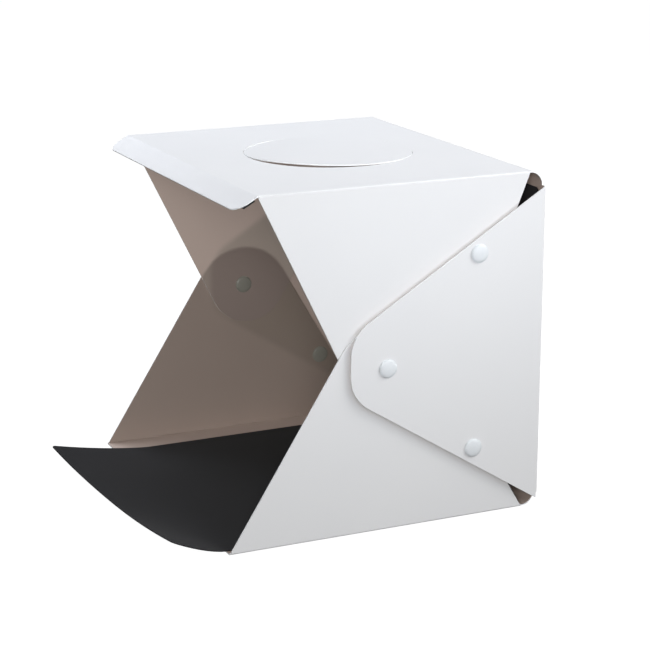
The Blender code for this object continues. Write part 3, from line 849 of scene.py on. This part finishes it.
def build_base_sheet():
    creases = side_creases(BOTTOM_FLAP_X) + [((0, FLAT_REAR), (0, 1))]
    piece = cut_sheet("base_sheet", oblong(HALF_WIDTH, FRONT, FLAT_REAR),
                      Matrix.Translation((0, 0, SHEET / 2)), creases=creases)
    # Painted daylight: part of the full glow on the base's inner face
    mark_whole(piece, DAYLIT, BASE_DAYLIGHT)
    finish_sheet(piece, "base", "base_panel", (0, 0, 1))


def build_back_sheet():
    creases = side_creases(BACK_FLAP_X) + [((0, back_low.z), (0, -1)), ((0, back_high.z), (0, 1))]
    upright = Matrix.Translation((0, REAR - SHEET / 2, 0)) @ Matrix.Rotation(math.pi / 2, 4, "X")
    piece = cut_sheet("back_sheet", oblong(back_high.x, back_low.z, back_high.z), upright, creases=creases)
    finish_sheet(piece, "back", "back_panel", (0, -1, 0))


def window_cutter():
    """Prism of the round window with its straight rear edge, through the roof."""
    deselect()
    bpy.ops.mesh.primitive_cylinder_add(vertices=2 * DISC_STEPS, radius=COVER_RADIUS + GAP, depth=8 * SHEET)
    cutter = named("window")
    edit(cutter)
    bpy.ops.mesh.bisect(plane_co=(0, COVER_CHORD + FOLD_REACH, 0), plane_no=(0, 1, 0), clear_outer=True,
                        use_fill=True)
    leave_edit()
    return settle(cutter, Matrix.Translation((0, WINDOW_CENTRE_Y, HEIGHT)))


def build_roof_sheet():
    creases = side_creases(ROOF_FLAP_X) + [((0, FLAT_REAR), (0, 1)),
                                           ((0, LIP_CREASE_Y + FOLD_REACH), (0, -1))]
    piece = cut_sheet("roof_sheet", oblong(HALF_WIDTH, ROOF_FRONT, FLAT_REAR),
                      Matrix.Translation((0, 0, ROOF_MIDDLE_Z)), creases=creases)
    cut_away(piece, [window_cutter()])
    finish_sheet(piece, "roof", "roof_panel", (0, 0, -1))


def cover_lift():
    """Turn about the cover's crease by the little that its front edge stands up."""
    hinge = Vector((0, COVER_CREASE_Y, ROOF_MIDDLE_Z))
    return Matrix.Translation(hinge) @ Matrix.Rotation(-COVER_LIFT, 4, "X") @ Matrix.Translation(-hinge)


def build_window_cover():
    """The die-cut disc: creased at its rear, a little raised, and curled down at its front left edge."""
    start = math.asin(COVER_CHORD / COVER_RADIUS)
    sweep = math.pi + 2 * start
    turns = [math.pi - start + sweep * i / DISC_STEPS for i in range(DISC_STEPS + 1)]
    outline = [(COVER_RADIUS * math.cos(turn), WINDOW_CENTRE_Y + COVER_RADIUS * math.sin(turn))
               for turn in turns]
    way = Vector(COVER_DROOP_WAY)
    centre = Vector((0, WINDOW_CENTRE_Y))
    spacing = COVER_RADIUS / COVER_DROOP_LINES
    lines = [(centre + way * spacing * i, way) for i in range(COVER_DROOP_LINES)]
    piece = cut_sheet("window_cover_sheet", outline, Matrix.Identity(4),
                      creases=[((0, COVER_CREASE_Y - FOLD_REACH), (0, 1))], lines=lines)
    for vertex in piece.data.vertices:
        beyond = max(0.0, (vertex.co.xy - centre).dot(way)) / COVER_RADIUS
        vertex.co.z -= COVER_DROOP * beyond**2
    settle(piece, cover_lift() @ Matrix.Translation((0, 0, ROOF_MIDDLE_Z)))
    finish_sheet(piece, "cover", "window_cover", (0, 0, -1))


def lip_place():
    """Frame of the sloping lip: origin on its crease, Y back up the slope, Z out of its top."""
    return Matrix.Translation((0, LIP_CREASE_Y, ROOF_MIDDLE_Z)) @ Matrix.Rotation(LIP_DROOP, 4, "X")


def build_lip_sheet():
    outline = rounded([(-HALF_WIDTH, 0, 0), (-HALF_WIDTH, -LIP_RUN, LIP_CORNER_RADIUS),
                       (HALF_WIDTH, -LIP_RUN, LIP_CORNER_RADIUS), (HALF_WIDTH, 0, 0)])
    piece = cut_sheet("front_lip_sheet", outline, lip_place(), creases=[((0, -FOLD_REACH), (0, 1))])
    finish_sheet(piece, "lip", "front_lip", lip_place().to_3x3() @ Vector((0, 0, -1)))


def build_flaps(side_name, side):
    """The three layers of one side wall."""
    roof, bottom, back = flap_corners()
    inward = (-side, 0, 0)
    bottom_behind = rounded(bottom, SOFT_STEPS)
    back_behind = rounded(back, SOFT_STEPS)
    near_lines = soft_edge_lines(bottom_behind, NEAR_SOFT)
    far_lines = soft_edge_lines(back_behind, FAR_SOFT)

    roof_flap = cut_sheet("roof_flap_sheet_" + side_name, rounded(roof), side_place(side * ROOF_FLAP_X),
                          holes=holes_at(POST_HOLE_RADIUS, APEX_SNAP_SHARES, UPPER_SNAP_SHARES),
                          creases=[((0, ROOF_MIDDLE_Z - FOLD_REACH), (0, 1))], lines=near_lines + far_lines)
    mark_behind(roof_flap, BEHIND_BOTTOM, bottom_behind, NEAR_SOFT)
    mark_behind(roof_flap, BEHIND_BACK, back_behind, FAR_SOFT)
    # Painted daylight: the full glow on the roof flap's inner face
    mark_whole(roof_flap, DAYLIT, 1.0)

    bottom_flap = cut_sheet("bottom_flap_sheet_" + side_name, rounded(bottom),
                            side_place(side * BOTTOM_FLAP_X),
                            holes=(holes_at(POST_HOLE_RADIUS, LOWER_SNAP_SHARES)
                                   + holes_at(PASS_HOLE_RADIUS, APEX_SNAP_SHARES)),
                            creases=[((0, SHEET / 2 + FOLD_REACH), (0, -1))], lines=far_lines)
    mark_behind(bottom_flap, BEHIND_BACK, back_behind, FAR_SOFT)

    back_flap = cut_sheet("back_flap_sheet_" + side_name, rounded(back), side_place(side * BACK_FLAP_X),
                          holes=holes_at(POST_HOLE_RADIUS, APEX_SNAP_SHARES, LOWER_SNAP_SHARES,
                                         UPPER_SNAP_SHARES),
                          creases=[((REAR - SHEET / 2 - FOLD_REACH, 0), (1, 0))])
    # Painted daylight: part of the full glow on the back flap's inner face
    mark_whole(back_flap, DAYLIT, BACK_DAYLIGHT)
    for piece, flap in ((roof_flap, "roof_flap_"), (bottom_flap, "bottom_flap_"), (back_flap, "back_flap_")):
        finish_sheet(piece, flap + side_name, flap + side_name, inward)


# Folds between the panels

def fold_strip(name, start, corner, end, run, straight=0.0, steps=CREASE_STEPS):
    """Sheet that turns from start to end, both equally far from the fold's corner, and is as long as run.

    start, corner and end are places of its middle line at one end of the crease.
    """
    start, corner, end, run = Vector(start), Vector(corner), Vector(end), Vector(run)
    into = corner - start
    out = end - corner
    axis = into.cross(out).normalized()
    angle = into.angle(out)
    radius = into.length / math.tan(angle / 2)
    centre = start + axis.cross(into).normalized() * radius
    deselect()
    bpy.ops.mesh.primitive_plane_add(size=1)
    piece = named(name)
    pick(piece, "VERT", lambda vertex: vertex.co.x > 0)
    bpy.ops.mesh.delete(type="VERT")
    leave_edit()
    for vertex, place in zip(piece.data.vertices, (start, start + run)):
        vertex.co = place - into.normalized() * straight
    edit(piece)
    if straight:
        bpy.ops.mesh.extrude_region_move(TRANSFORM_OT_translate={"value": into.normalized() * straight})
    bpy.ops.mesh.spin(steps=steps, angle=-angle, center=centre, axis=axis)
    if straight:
        bpy.ops.mesh.extrude_region_move(TRANSFORM_OT_translate={"value": out.normalized() * straight})
    leave_edit()
    modify(piece, "SOLIDIFY", {"thickness": SHEET, "offset": 0, "use_even_offset": True})
    face_outward(piece)
    two_faces(piece, lambda place: inner_side(place, centre, axis))
    smooth(piece)
    return piece


def inner_side(place, centre, axis):
    """Direction from a place on a fold to the fold's axis."""
    toward = centre - place
    return (toward - axis * toward.dot(axis)).normalized()


def fold_between(piece, body_a, body_b, start, end, *nodes):
    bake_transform(piece)
    if nodes:
        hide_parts(*nodes)


def build_rear_folds():
    """The two rolled rear folds, built in their rest shape."""
    reach = BEND_RADIUS - SHEET / 2
    width = (2 * HALF_WIDTH, 0, 0)
    left = -HALF_WIDTH
    wall_y = REAR - SHEET / 2
    bend_y = wall_y - reach
    for name, node, floor_z, turn_z, bodies in (
            ("rear_bottom_fold", "rear_bottom_bend", SHEET / 2, SHEET / 2 + reach, ("base", "back")),
            ("rear_top_fold", "rear_top_bend", ROOF_MIDDLE_Z, ROOF_MIDDLE_Z - reach, ("roof", "back"))):
        start = Vector((left, bend_y, floor_z))
        end = Vector((left, wall_y, turn_z))
        piece = fold_strip(name, start, (left, wall_y, floor_z), end, width, straight=GAP,
                           steps=REAR_FOLD_STEPS)
        fold_between(piece, *bodies, start, end, node)


def build_side_folds(side_name, side):
    """The narrow creases along the roof, the base and the back, which join each flap to its panel."""
    front_y = LIP_CREASE_Y + FOLD_REACH
    roof_corner = Vector((side * ROOF_FLAP_X, front_y, ROOF_MIDDLE_Z))
    base_corner = Vector((side * BOTTOM_FLAP_X, FRONT, SHEET / 2))
    back_corner = Vector((side * BACK_FLAP_X, REAR - SHEET / 2, back_low.z))
    inward = Vector((-side * FOLD_REACH, 0, 0))
    down = Vector((0, 0, -FOLD_REACH))
    front = Vector((0, -FOLD_REACH, 0))
    for name, corner, panel_way, flap_way, run, bodies in (
            ("roof_crease_", roof_corner, inward, down, (0, FLAT_REAR - front_y, 0), ("roof", "roof_flap_")),
            ("base_crease_", base_corner, inward, -down,
             (0, BOTTOM_FLAP_REAR_SHARE * DEPTH - FRONT, 0), ("base", "bottom_flap_")),
            ("back_crease_", back_corner, inward, front, (0, 0, back_high.z - back_low.z),
             ("back", "back_flap_"))):
        piece = fold_strip(name + side_name, corner + panel_way, corner, corner + flap_way, run)
        fold_between(piece, bodies[0], bodies[1] + side_name, corner + panel_way, corner + flap_way)


def build_lip_and_cover_folds():
    for body, half, crease_y, turn in (("lip", HALF_WIDTH, LIP_CREASE_Y, lip_place()),
                                       ("cover", COVER_CREASE_LENGTH / 2, COVER_CREASE_Y, cover_lift())):
        crease = Vector((-half, crease_y, ROOF_MIDDLE_Z))
        start = crease + Vector((0, FOLD_REACH, 0))
        end = crease + turn.to_3x3() @ Vector((0, -FOLD_REACH, 0))
        piece = fold_strip(body + "_crease_fold", start, crease, end, (2 * half, 0, 0))
        if body == "cover":
            two_faces(piece, lambda place: Vector((0, 0, -1)))
        fold_between(piece, "roof", body, start, end)


# Press studs

def dome_rings():
    """Post, flat underside, rounded rim and dome of a cap, from the post's end up."""
    rings = [(POST_RADIUS - 0.25 * MM, -POST_LENGTH), (POST_RADIUS, 0.2 * MM - POST_LENGTH), (POST_RADIUS, 0),
             (CAP_RADIUS - 0.22 * MM, 0), (CAP_RADIUS - 0.06 * MM, 0.07 * MM), (CAP_RADIUS, 0.2 * MM),
             (CAP_RADIUS, CAP_RIM - 0.1 * MM), (CAP_RADIUS - 0.08 * MM, CAP_RIM)]
    foot = CAP_RADIUS - 0.35 * MM
    for i in range(DOME_STEPS):
        turn = math.pi / 2 * i / DOME_STEPS
        rings.append((foot * math.cos(turn), CAP_RIM + 0.04 * MM + (CAP_DOME - 0.04 * MM) * math.sin(turn)))
    return rings


def build_cap_model():
    """Cap with the faint gate mark that the mould leaves in the middle of its dome."""
    top = CAP_RIM + CAP_DOME
    gate = [(0.45 * MM, top), (0.32 * MM, top), (0.3 * MM, top - 0.05 * MM)]
    model = turned("cap_model", dome_rings() + gate)
    paint(model, stud_resin)
    smooth(model)
    return model


def build_stud_model(name, height):
    """Male half: rounded flange, raised ring, barrel with a rounded nose and the post's end in its bore."""
    flange = STUD_BASE_DEPTH
    rings = [(4.55 * MM, 0), (4.75 * MM, 0.06 * MM), (STUD_BASE_RADIUS, 0.18 * MM),
             (STUD_BASE_RADIUS, flange - 0.14 * MM), (4.66 * MM, flange), (3.0 * MM, flange),
             (2.9 * MM, flange + 0.1 * MM), (2.5 * MM, flange + 0.1 * MM), (2.38 * MM, flange),
             (NUB_RADIUS, flange), (NUB_RADIUS, height - NUB_ROUND), (1.72 * MM, height - 0.42 * MM),
             (1.5 * MM, height - 0.18 * MM), (1.2 * MM, height - 0.04 * MM), (0.98 * MM, height),
             (0.8 * MM, height), (0.68 * MM, height - 0.1 * MM), (0.68 * MM, height - 0.5 * MM),
             (0.3 * MM, height - 0.42 * MM)]
    model = turned(name, rings)
    paint(model, stud_resin)
    smooth(model)
    return model


def build_socket_model():
    """Female half: an outer rim, a groove and a slit collar that grips the nub."""
    rings = [(SOCKET_BORE, SOCKET_DEPTH), (SOCKET_BORE, 0.16 * MM), (SOCKET_BORE + 0.12 * MM, 0),
             (3.35 * MM, 0), (3.42 * MM, 0.06 * MM), (3.42 * MM, 0.5 * MM), (4.35 * MM, 0.5 * MM),
             (4.35 * MM, 0.06 * MM), (4.42 * MM, 0), (4.9 * MM, 0), (SOCKET_RADIUS - 0.05 * MM, 0.06 * MM),
             (SOCKET_RADIUS, 0.2 * MM), (SOCKET_RADIUS, SOCKET_DEPTH)]
    model = turned("socket_model", rings, closed=False)
    slits = []
    for i in range(4):
        slit = block("slit", (2.4 * MM, -0.16 * MM, -0.3 * MM), (3.9 * MM, 0.16 * MM, 0.5 * MM))
        slits.append(settle(slit, Matrix.Rotation(math.radians(45 + 90 * i), 4, "Z")))
    cut_away(model, slits)
    paint(model, stud_resin)
    smooth(model)
    return model


def snap_place(shares, x, side, inward):
    """Frame on a side wall at distance x from the middle, with Z pointing out, or in."""
    y, z = share_point(shares)
    turn = Matrix.Rotation(math.pi / 2 * side * (-1 if inward else 1), 4, "Y")
    return Matrix.Translation((side * x, y, z)) @ turn


def node_depth(node):
    """How far a node reaches along X."""
    low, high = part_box(node)
    return high.x - low.x


def build_press_studs():
    """Studs on the two inner layers, sockets on the back flap, and a cap behind each of them."""
    cap = build_cap_model()
    tall = build_stud_model("tall_stud_model", node_depth("roof_flap_stud_apex_right"))
    short = build_stud_model("short_stud_model", node_depth("bottom_flap_stud_right"))
    socket = build_socket_model()
    roof_snaps = {"_apex": APEX_SNAP_SHARES, "_upper": UPPER_SNAP_SHARES}
    bottom_snap = {"": LOWER_SNAP_SHARES}
    back_snaps = {"_apex": APEX_SNAP_SHARES, "_lower": LOWER_SNAP_SHARES, "_upper": UPPER_SNAP_SHARES}
    rows = ((tall, "roof_flap", "_stud", roof_snaps, ROOF_FLAP_X + SHEET / 2 + GAP, False),
            (cap, "roof_flap", "_cap", roof_snaps, ROOF_FLAP_X - SHEET / 2 - GAP, True),
            (short, "bottom_flap", "_stud", bottom_snap, BOTTOM_FLAP_X + SHEET / 2 + GAP, False),
            (cap, "bottom_flap", "_cap", bottom_snap, BOTTOM_FLAP_X - SHEET / 2 - GAP, True),
            (socket, "back_flap", "_socket", back_snaps, BACK_FLAP_X - SHEET / 2 - GAP - SOCKET_DEPTH, False),
            (cap, "back_flap", "_cap", back_snaps, BACK_FLAP_X + SHEET / 2 + GAP, False))
    for side_name, side in SIDES.items():
        for model, flap, part, snaps, x, inward in rows:
            for label, shares in snaps.items():
                node = f"{flap}{part}{label}_{side_name}"
                piece = settle(copy_of(model, node + "_moulding"), snap_place(shares, x, side, inward))
                # Caps inside the box take the resin in painted shade
                if inward:
                    paint(piece, painted_shade_resin)
                dress(piece, f"{flap}_{side_name}", node)
    remove(cap, tall, short, socket)


# Light bar, drawn in the lip's frame

def build_light_bar():
    half = BAR_LENGTH / 2
    rear = -BAR_SETBACK
    front = rear - BAR_WIDTH
    tape_top = -SHEET / 2 - GAP
    tape_under = tape_top - TAPE_THICKNESS
    tray_top = tape_under - GAP
    tray_under = tray_top - TRAY_DEPTH
    inside_front = front + TRAY_WALL
    inside_rear = rear - TRAY_WALL
    inside_top = tray_top - TRAY_WALL

    tape = block("light_bar_foam_tape", (TAPE_MARGIN - half, front + TAPE_MARGIN, tape_under),
                 (half - TAPE_MARGIN, rear - TAPE_MARGIN, tape_top))
    finish_bar_piece(tape, "light_bar_tape", 0.08 * MM, tape_grey)

    tray = block("light_bar_channel", (-half, front, tray_under), (half, rear, tray_top))
    past_end = half + MM
    below = tray_under - MM
    ledge_top = tray_under + DIFFUSER_THICKNESS + LEDGE_CLEARANCE
    cutters = [block("channel", (-past_end, inside_front, below), (past_end, inside_rear, inside_top)),
               block("ledge", (-past_end, inside_front - LEDGE_DEPTH, below),
                     (past_end, inside_rear + LEDGE_DEPTH, ledge_top))]
    for share in GROOVE_SHARES:
        groove_under = tray_under + share * TRAY_DEPTH
        cutters.append(block("groove", (-past_end, front - MM, groove_under),
                             (past_end, front + GROOVE_DEPTH, groove_under + GROOVE_HEIGHT)))
    cut_away(tray, cutters)
    finish_bar_piece(tray, "light_bar_tray", 0.07 * MM, bar_black)

    strip = block("light_bar_frosted_strip", (GAP - half, inside_front + GAP, tray_under),
                  (half - GAP, inside_rear - GAP, tray_under + DIFFUSER_THICKNESS))
    finish_bar_piece(strip, "light_bar_diffuser", 0.12 * MM, strip_frosted)

    build_board(half - GAP, inside_front + GAP, inside_rear - GAP, inside_top - GAP)
    build_bar_ends(half, front, rear, tray_under, tray_top)


def finish_bar_piece(piece, node, width=0.0, material=None):
    """Round and paint a piece, unless its parts already are, and hang it on the lip."""
    if material:
        soften(piece, width)
        paint(piece, material)
    settle(piece, lip_place())
    smooth(piece)
    dress(piece, "lip", node)


def chamfered_block(name, low, high, width, *materials):
    piece = block(name, low, high)
    soften(piece, width, segments=1)
    paint(piece, *materials)
    return piece


def build_diode():
    """A diode: white package with a round well, its phosphor, and a solder foot at each end."""
    package = block("package", (-LED_LENGTH / 2, -LED_WIDTH / 2, -LED_THICKNESS),
                    (LED_LENGTH / 2, LED_WIDTH / 2, 0))
    soften(package, 0.1 * MM, segments=1)
    deselect()
    bpy.ops.mesh.primitive_cylinder_add(vertices=DIODE_STEPS, radius=WELL_RADIUS, depth=WELL_DEPTH,
                                        location=(0, 0, -LED_THICKNESS))
    cut_away(package, [named("well")])
    paint(package, stud_resin)
    glow = turned("glow", [(1.05 * MM, -0.4 * MM), (1.09 * MM, -0.45 * MM), (1.09 * MM, -0.5 * MM),
                           (0.9 * MM, -0.56 * MM), (0.45 * MM, -0.585 * MM)], segments=DIODE_STEPS)
    paint(glow, phosphor)
    feet = [chamfered_block("foot", (way * LED_LENGTH / 2 - 0.25 * MM, -1.0 * MM, -0.16 * MM),
                            (way * LED_LENGTH / 2 + 0.35 * MM, 1.0 * MM, 0), 0.06 * MM, solder)
            for way in (-1, 1)]
    return join("diode", [package, glow, *feet])


def build_resistor():
    """A resistor: black chip with a solder end on each side."""
    chip = chamfered_block("chip", (-1.0 * MM, -0.6 * MM, -0.45 * MM), (1.0 * MM, 0.6 * MM, 0),
                           0.06 * MM, bar_black)
    ends = [chamfered_block("end", (way * 1.05 * MM - 0.25 * MM, -0.64 * MM, -0.47 * MM),
                            (way * 1.05 * MM + 0.25 * MM, 0.64 * MM, 0), 0.06 * MM, solder)
            for way in (-1, 1)]
    return join("resistor", [chip, *ends])


def build_board(half, front, rear, top):
    """Circuit board with its row of diodes, and a resistor after every fifth but the last."""
    under = top - BOARD_THICKNESS
    middle = (front + rear) / 2
    parts = [chamfered_block("board", (-half, front, under), (half, rear, top), 0.05 * MM,
                             board_white, solder, phosphor, stud_resin)]
    diode = build_diode()
    resistor = build_resistor()
    pitch = BAR_LENGTH / LED_COUNT
    for i in range(LED_COUNT):
        x = pitch * (i + 0.5) - BAR_LENGTH / 2
        parts.append(settle(copy_of(diode, "diode_copy"), Matrix.Translation((x, middle, under))))
        if (i + 1) % LEDS_PER_RESISTOR == 0 and i < LED_COUNT - 1:
            parts.append(settle(copy_of(resistor, "resistor_copy"),
                                Matrix.Translation((x + pitch / 2, middle, under))))
    remove(diode, resistor)
    finish_bar_piece(join("light_bar_diode_board", parts), "light_bar_board")


def sink_end(piece, way, margin, travel):
    """Inset the end face that looks along X in the way given, and push its middle along X by travel."""
    pick(piece, "FACE", lambda face: way * face.normal.x > SQUARE_ON)
    bpy.ops.mesh.inset(thickness=margin, depth=0)
    bpy.ops.mesh.extrude_region_move(TRANSFORM_OT_translate={"value": (travel, 0, 0)})
    leave_edit()


def build_bar_ends(half, front, rear, under, top):
    """Moulded ends of the bar: the right one plain, the left one round the power inlet."""
    middle = (front + rear) / 2
    middle_z = (top + under) / 2
    inner = half + GAP
    outer = inner + END_CAP_LENGTH
    right = block("light_bar_end_right", (inner, front, under), (outer, rear, top))
    sink_end(right, 1, 0.7 * MM, -0.25 * MM)
    finish_bar_piece(right, "light_bar_end_cap_right", 0.16 * MM, bar_black)

    left = block("light_bar_end_left", (-outer, front, under), (-inner, rear, top))
    mouth_half = INLET_WIDTH / 2 + GAP
    mouth_rise = INLET_HEIGHT / 2 + GAP
    cut_away(left, [block("mouth", (-outer - MM, middle - mouth_half, middle_z - mouth_rise),
                          (-inner + MM, middle + mouth_half, middle_z + mouth_rise))])
    finish_bar_piece(left, "light_bar_end_cap_left", 0.12 * MM, bar_black)

    shell_front = -outer - INLET_PROUD
    shell = block("shell", (shell_front, middle - INLET_WIDTH / 2, middle_z - INLET_HEIGHT / 2),
                  (-half, middle + INLET_WIDTH / 2, middle_z + INLET_HEIGHT / 2))
    pick(shell, "EDGE", lambda edge: along_x(shell, edge))
    bpy.ops.mesh.bevel(offset=0.45 * MM, segments=4, affect="EDGES")
    sink_end(shell, -1, INLET_WALL, -half - INLET_FLOOR - shell_front)
    paint(shell, inlet_steel)
    tongue = chamfered_block("tongue", (shell_front + 0.7 * MM, middle - 1.7 * MM, middle_z - 0.28 * MM),
                             (-half - INLET_FLOOR / 2, middle + 1.7 * MM, middle_z + 0.05 * MM),
                             0.05 * MM, bar_black)
    finish_bar_piece(join("light_bar_inlet_shell", [shell, tongue]), "light_power_inlet")


def along_x(piece, edge):
    a, b = (piece.data.vertices[v].co for v in edge.vertices)
    return abs(a.x - b.x) > SQUARE_ON * (a - b).length


# Backdrop

def backdrop_place(across, down):
    """Place of the backdrop's middle line, from its share across (-1 to 1) and its length from the top."""
    wall_y = REAR - SHEET - GAP - BACKDROP_THICKNESS / 2
    floor_z = SHEET + GAP + BACKDROP_THICKNESS / 2
    top_z = HEIGHT - BACKDROP_TOP_DROP
    radius = BACKDROP_SWEEP_RADIUS
    wall_run = top_z - floor_z - radius
    sweep_run = math.pi / 2 * radius
    x = BACKDROP_SHIFT + across * BACKDROP_WIDTH / 2
    if down <= wall_run:
        return Vector((x, wall_y, top_z - down))
    if down <= wall_run + sweep_run:
        turn = (down - wall_run) / radius
        return Vector((x, wall_y - radius + radius * math.cos(turn),
                       floor_z + radius - radius * math.sin(turn)))
    flat_y = wall_y - radius
    front = FRONT - BACKDROP_OVERHANG + BACKDROP_SKEW * across
    share = (down - wall_run - sweep_run) / (BACKDROP_LENGTH - wall_run - sweep_run)
    y = flat_y + (front - flat_y) * share
    rise_y = FRONT + BACKDROP_RISE_START * (1 - across) / 2
    beyond = max(0.0, (rise_y - y) / (rise_y - front))
    rise = (BACKDROP_RISE + BACKDROP_CORNER_RISE * across**2) * beyond**RISE_POWER
    wave = math.sin(RIPPLE_ACROSS * across + RIPPLE_ALONG * share)
    ripple = BACKDROP_RIPPLE * beyond * (1 + wave) / 2
    return Vector((x, y, floor_z + rise + ripple))


def build_backdrop():
    """The black sheet: down the back wall, round its sweep, over the base and out of the front."""
    half = BACKDROP_WIDTH / 2
    corner = BACKDROP_CORNER_RADIUS
    outline = rounded([(-half, 0, corner), (-half, -BACKDROP_LENGTH, corner),
                       (half, -BACKDROP_LENGTH, corner), (half, 0, corner)])
    deselect()
    bpy.ops.mesh.primitive_grid_add(x_subdivisions=BACKDROP_COLUMNS, y_subdivisions=BACKDROP_ROWS, size=1)
    piece = named("backdrop_sheet")
    settle(piece, Matrix.Translation((0, -BACKDROP_LENGTH / 2, 0)) @
           Matrix.Diagonal((BACKDROP_WIDTH, BACKDROP_LENGTH, 1, 1)))
    edit(piece)
    slice_through(edge_lines(outline), True)
    leave_edit()
    for vertex in piece.data.vertices:
        vertex.co = backdrop_place(vertex.co.x / half, -vertex.co.y)
    modify(piece, "SOLIDIFY", {"thickness": BACKDROP_THICKNESS, "offset": 0, "use_even_offset": True})
    face_outward(piece)
    paint(piece, felt_black)
    smooth(piece)
    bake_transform(piece)
    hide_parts("backdrop")


# Studio

def build_camera():
    data = bpy.data.cameras.new("photo_camera")
    data.lens = CAMERA_LENS
    data.sensor_width = SENSOR_WIDTH
    camera = bpy.data.objects.new("photo_camera", data)
    camera.location = CAMERA_PLACE
    camera.rotation_euler = (math.pi / 2 + CAMERA_PITCH, 0, CAMERA_YAW)
    bpy.context.scene.collection.objects.link(camera)
    bpy.context.scene.camera = camera


def build_floor():
    deselect()
    bpy.ops.mesh.primitive_plane_add(size=FLOOR_SIZE, location=(0, 0, -FLOOR_DROP))
    floor = named("studio_floor")
    paint(floor, lit_table())
    floor.visible_diffuse = floor.visible_glossy = False


def build_lamp(name, place, target, size, power, colour):
    """A softbox that lights the object but isn't itself seen."""
    data = bpy.data.lights.new(name, "AREA")
    data.shape = "RECTANGLE"
    data.size, data.size_y = size
    data.energy = power
    data.color = colour
    lamp = bpy.data.objects.new(name, data)
    lamp.location = place
    lamp.rotation_euler = (Vector(target) - Vector(place)).to_track_quat("-Z", "Y").to_euler()
    lamp.visible_camera = False
    bpy.context.scene.collection.objects.link(lamp)


def build_studio():
    """A white studio whose walls are seen but give little light; the lamps light the object."""
    scene = bpy.context.scene
    scene.view_settings.view_transform = "Standard"
    world = bpy.data.worlds.new("studio")
    world.use_nodes = True
    tree = world.node_tree
    seen = add(tree, "ShaderNodeLightPath", {}, "Is Camera Ray")
    strength = add(tree, RANGE, {"Value": seen, "To Min": WORLD_LIGHT, "To Max": WORLD_SEEN})
    fill(tree, tree.nodes["Background"], {"Color": srgb("#FFFFFF"), "Strength": strength})
    scene.world = world
    for name, lamp in LAMPS.items():
        build_lamp(name, *lamp)


build_camera()
build_floor()
build_studio()
build_base_sheet()
build_back_sheet()
build_roof_sheet()
build_window_cover()
build_lip_sheet()
build_rear_folds()
build_lip_and_cover_folds()
for side_label, direction in SIDES.items():
    build_flaps(side_label, direction)
    build_side_folds(side_label, direction)
build_press_studs()
build_light_bar()
build_backdrop()
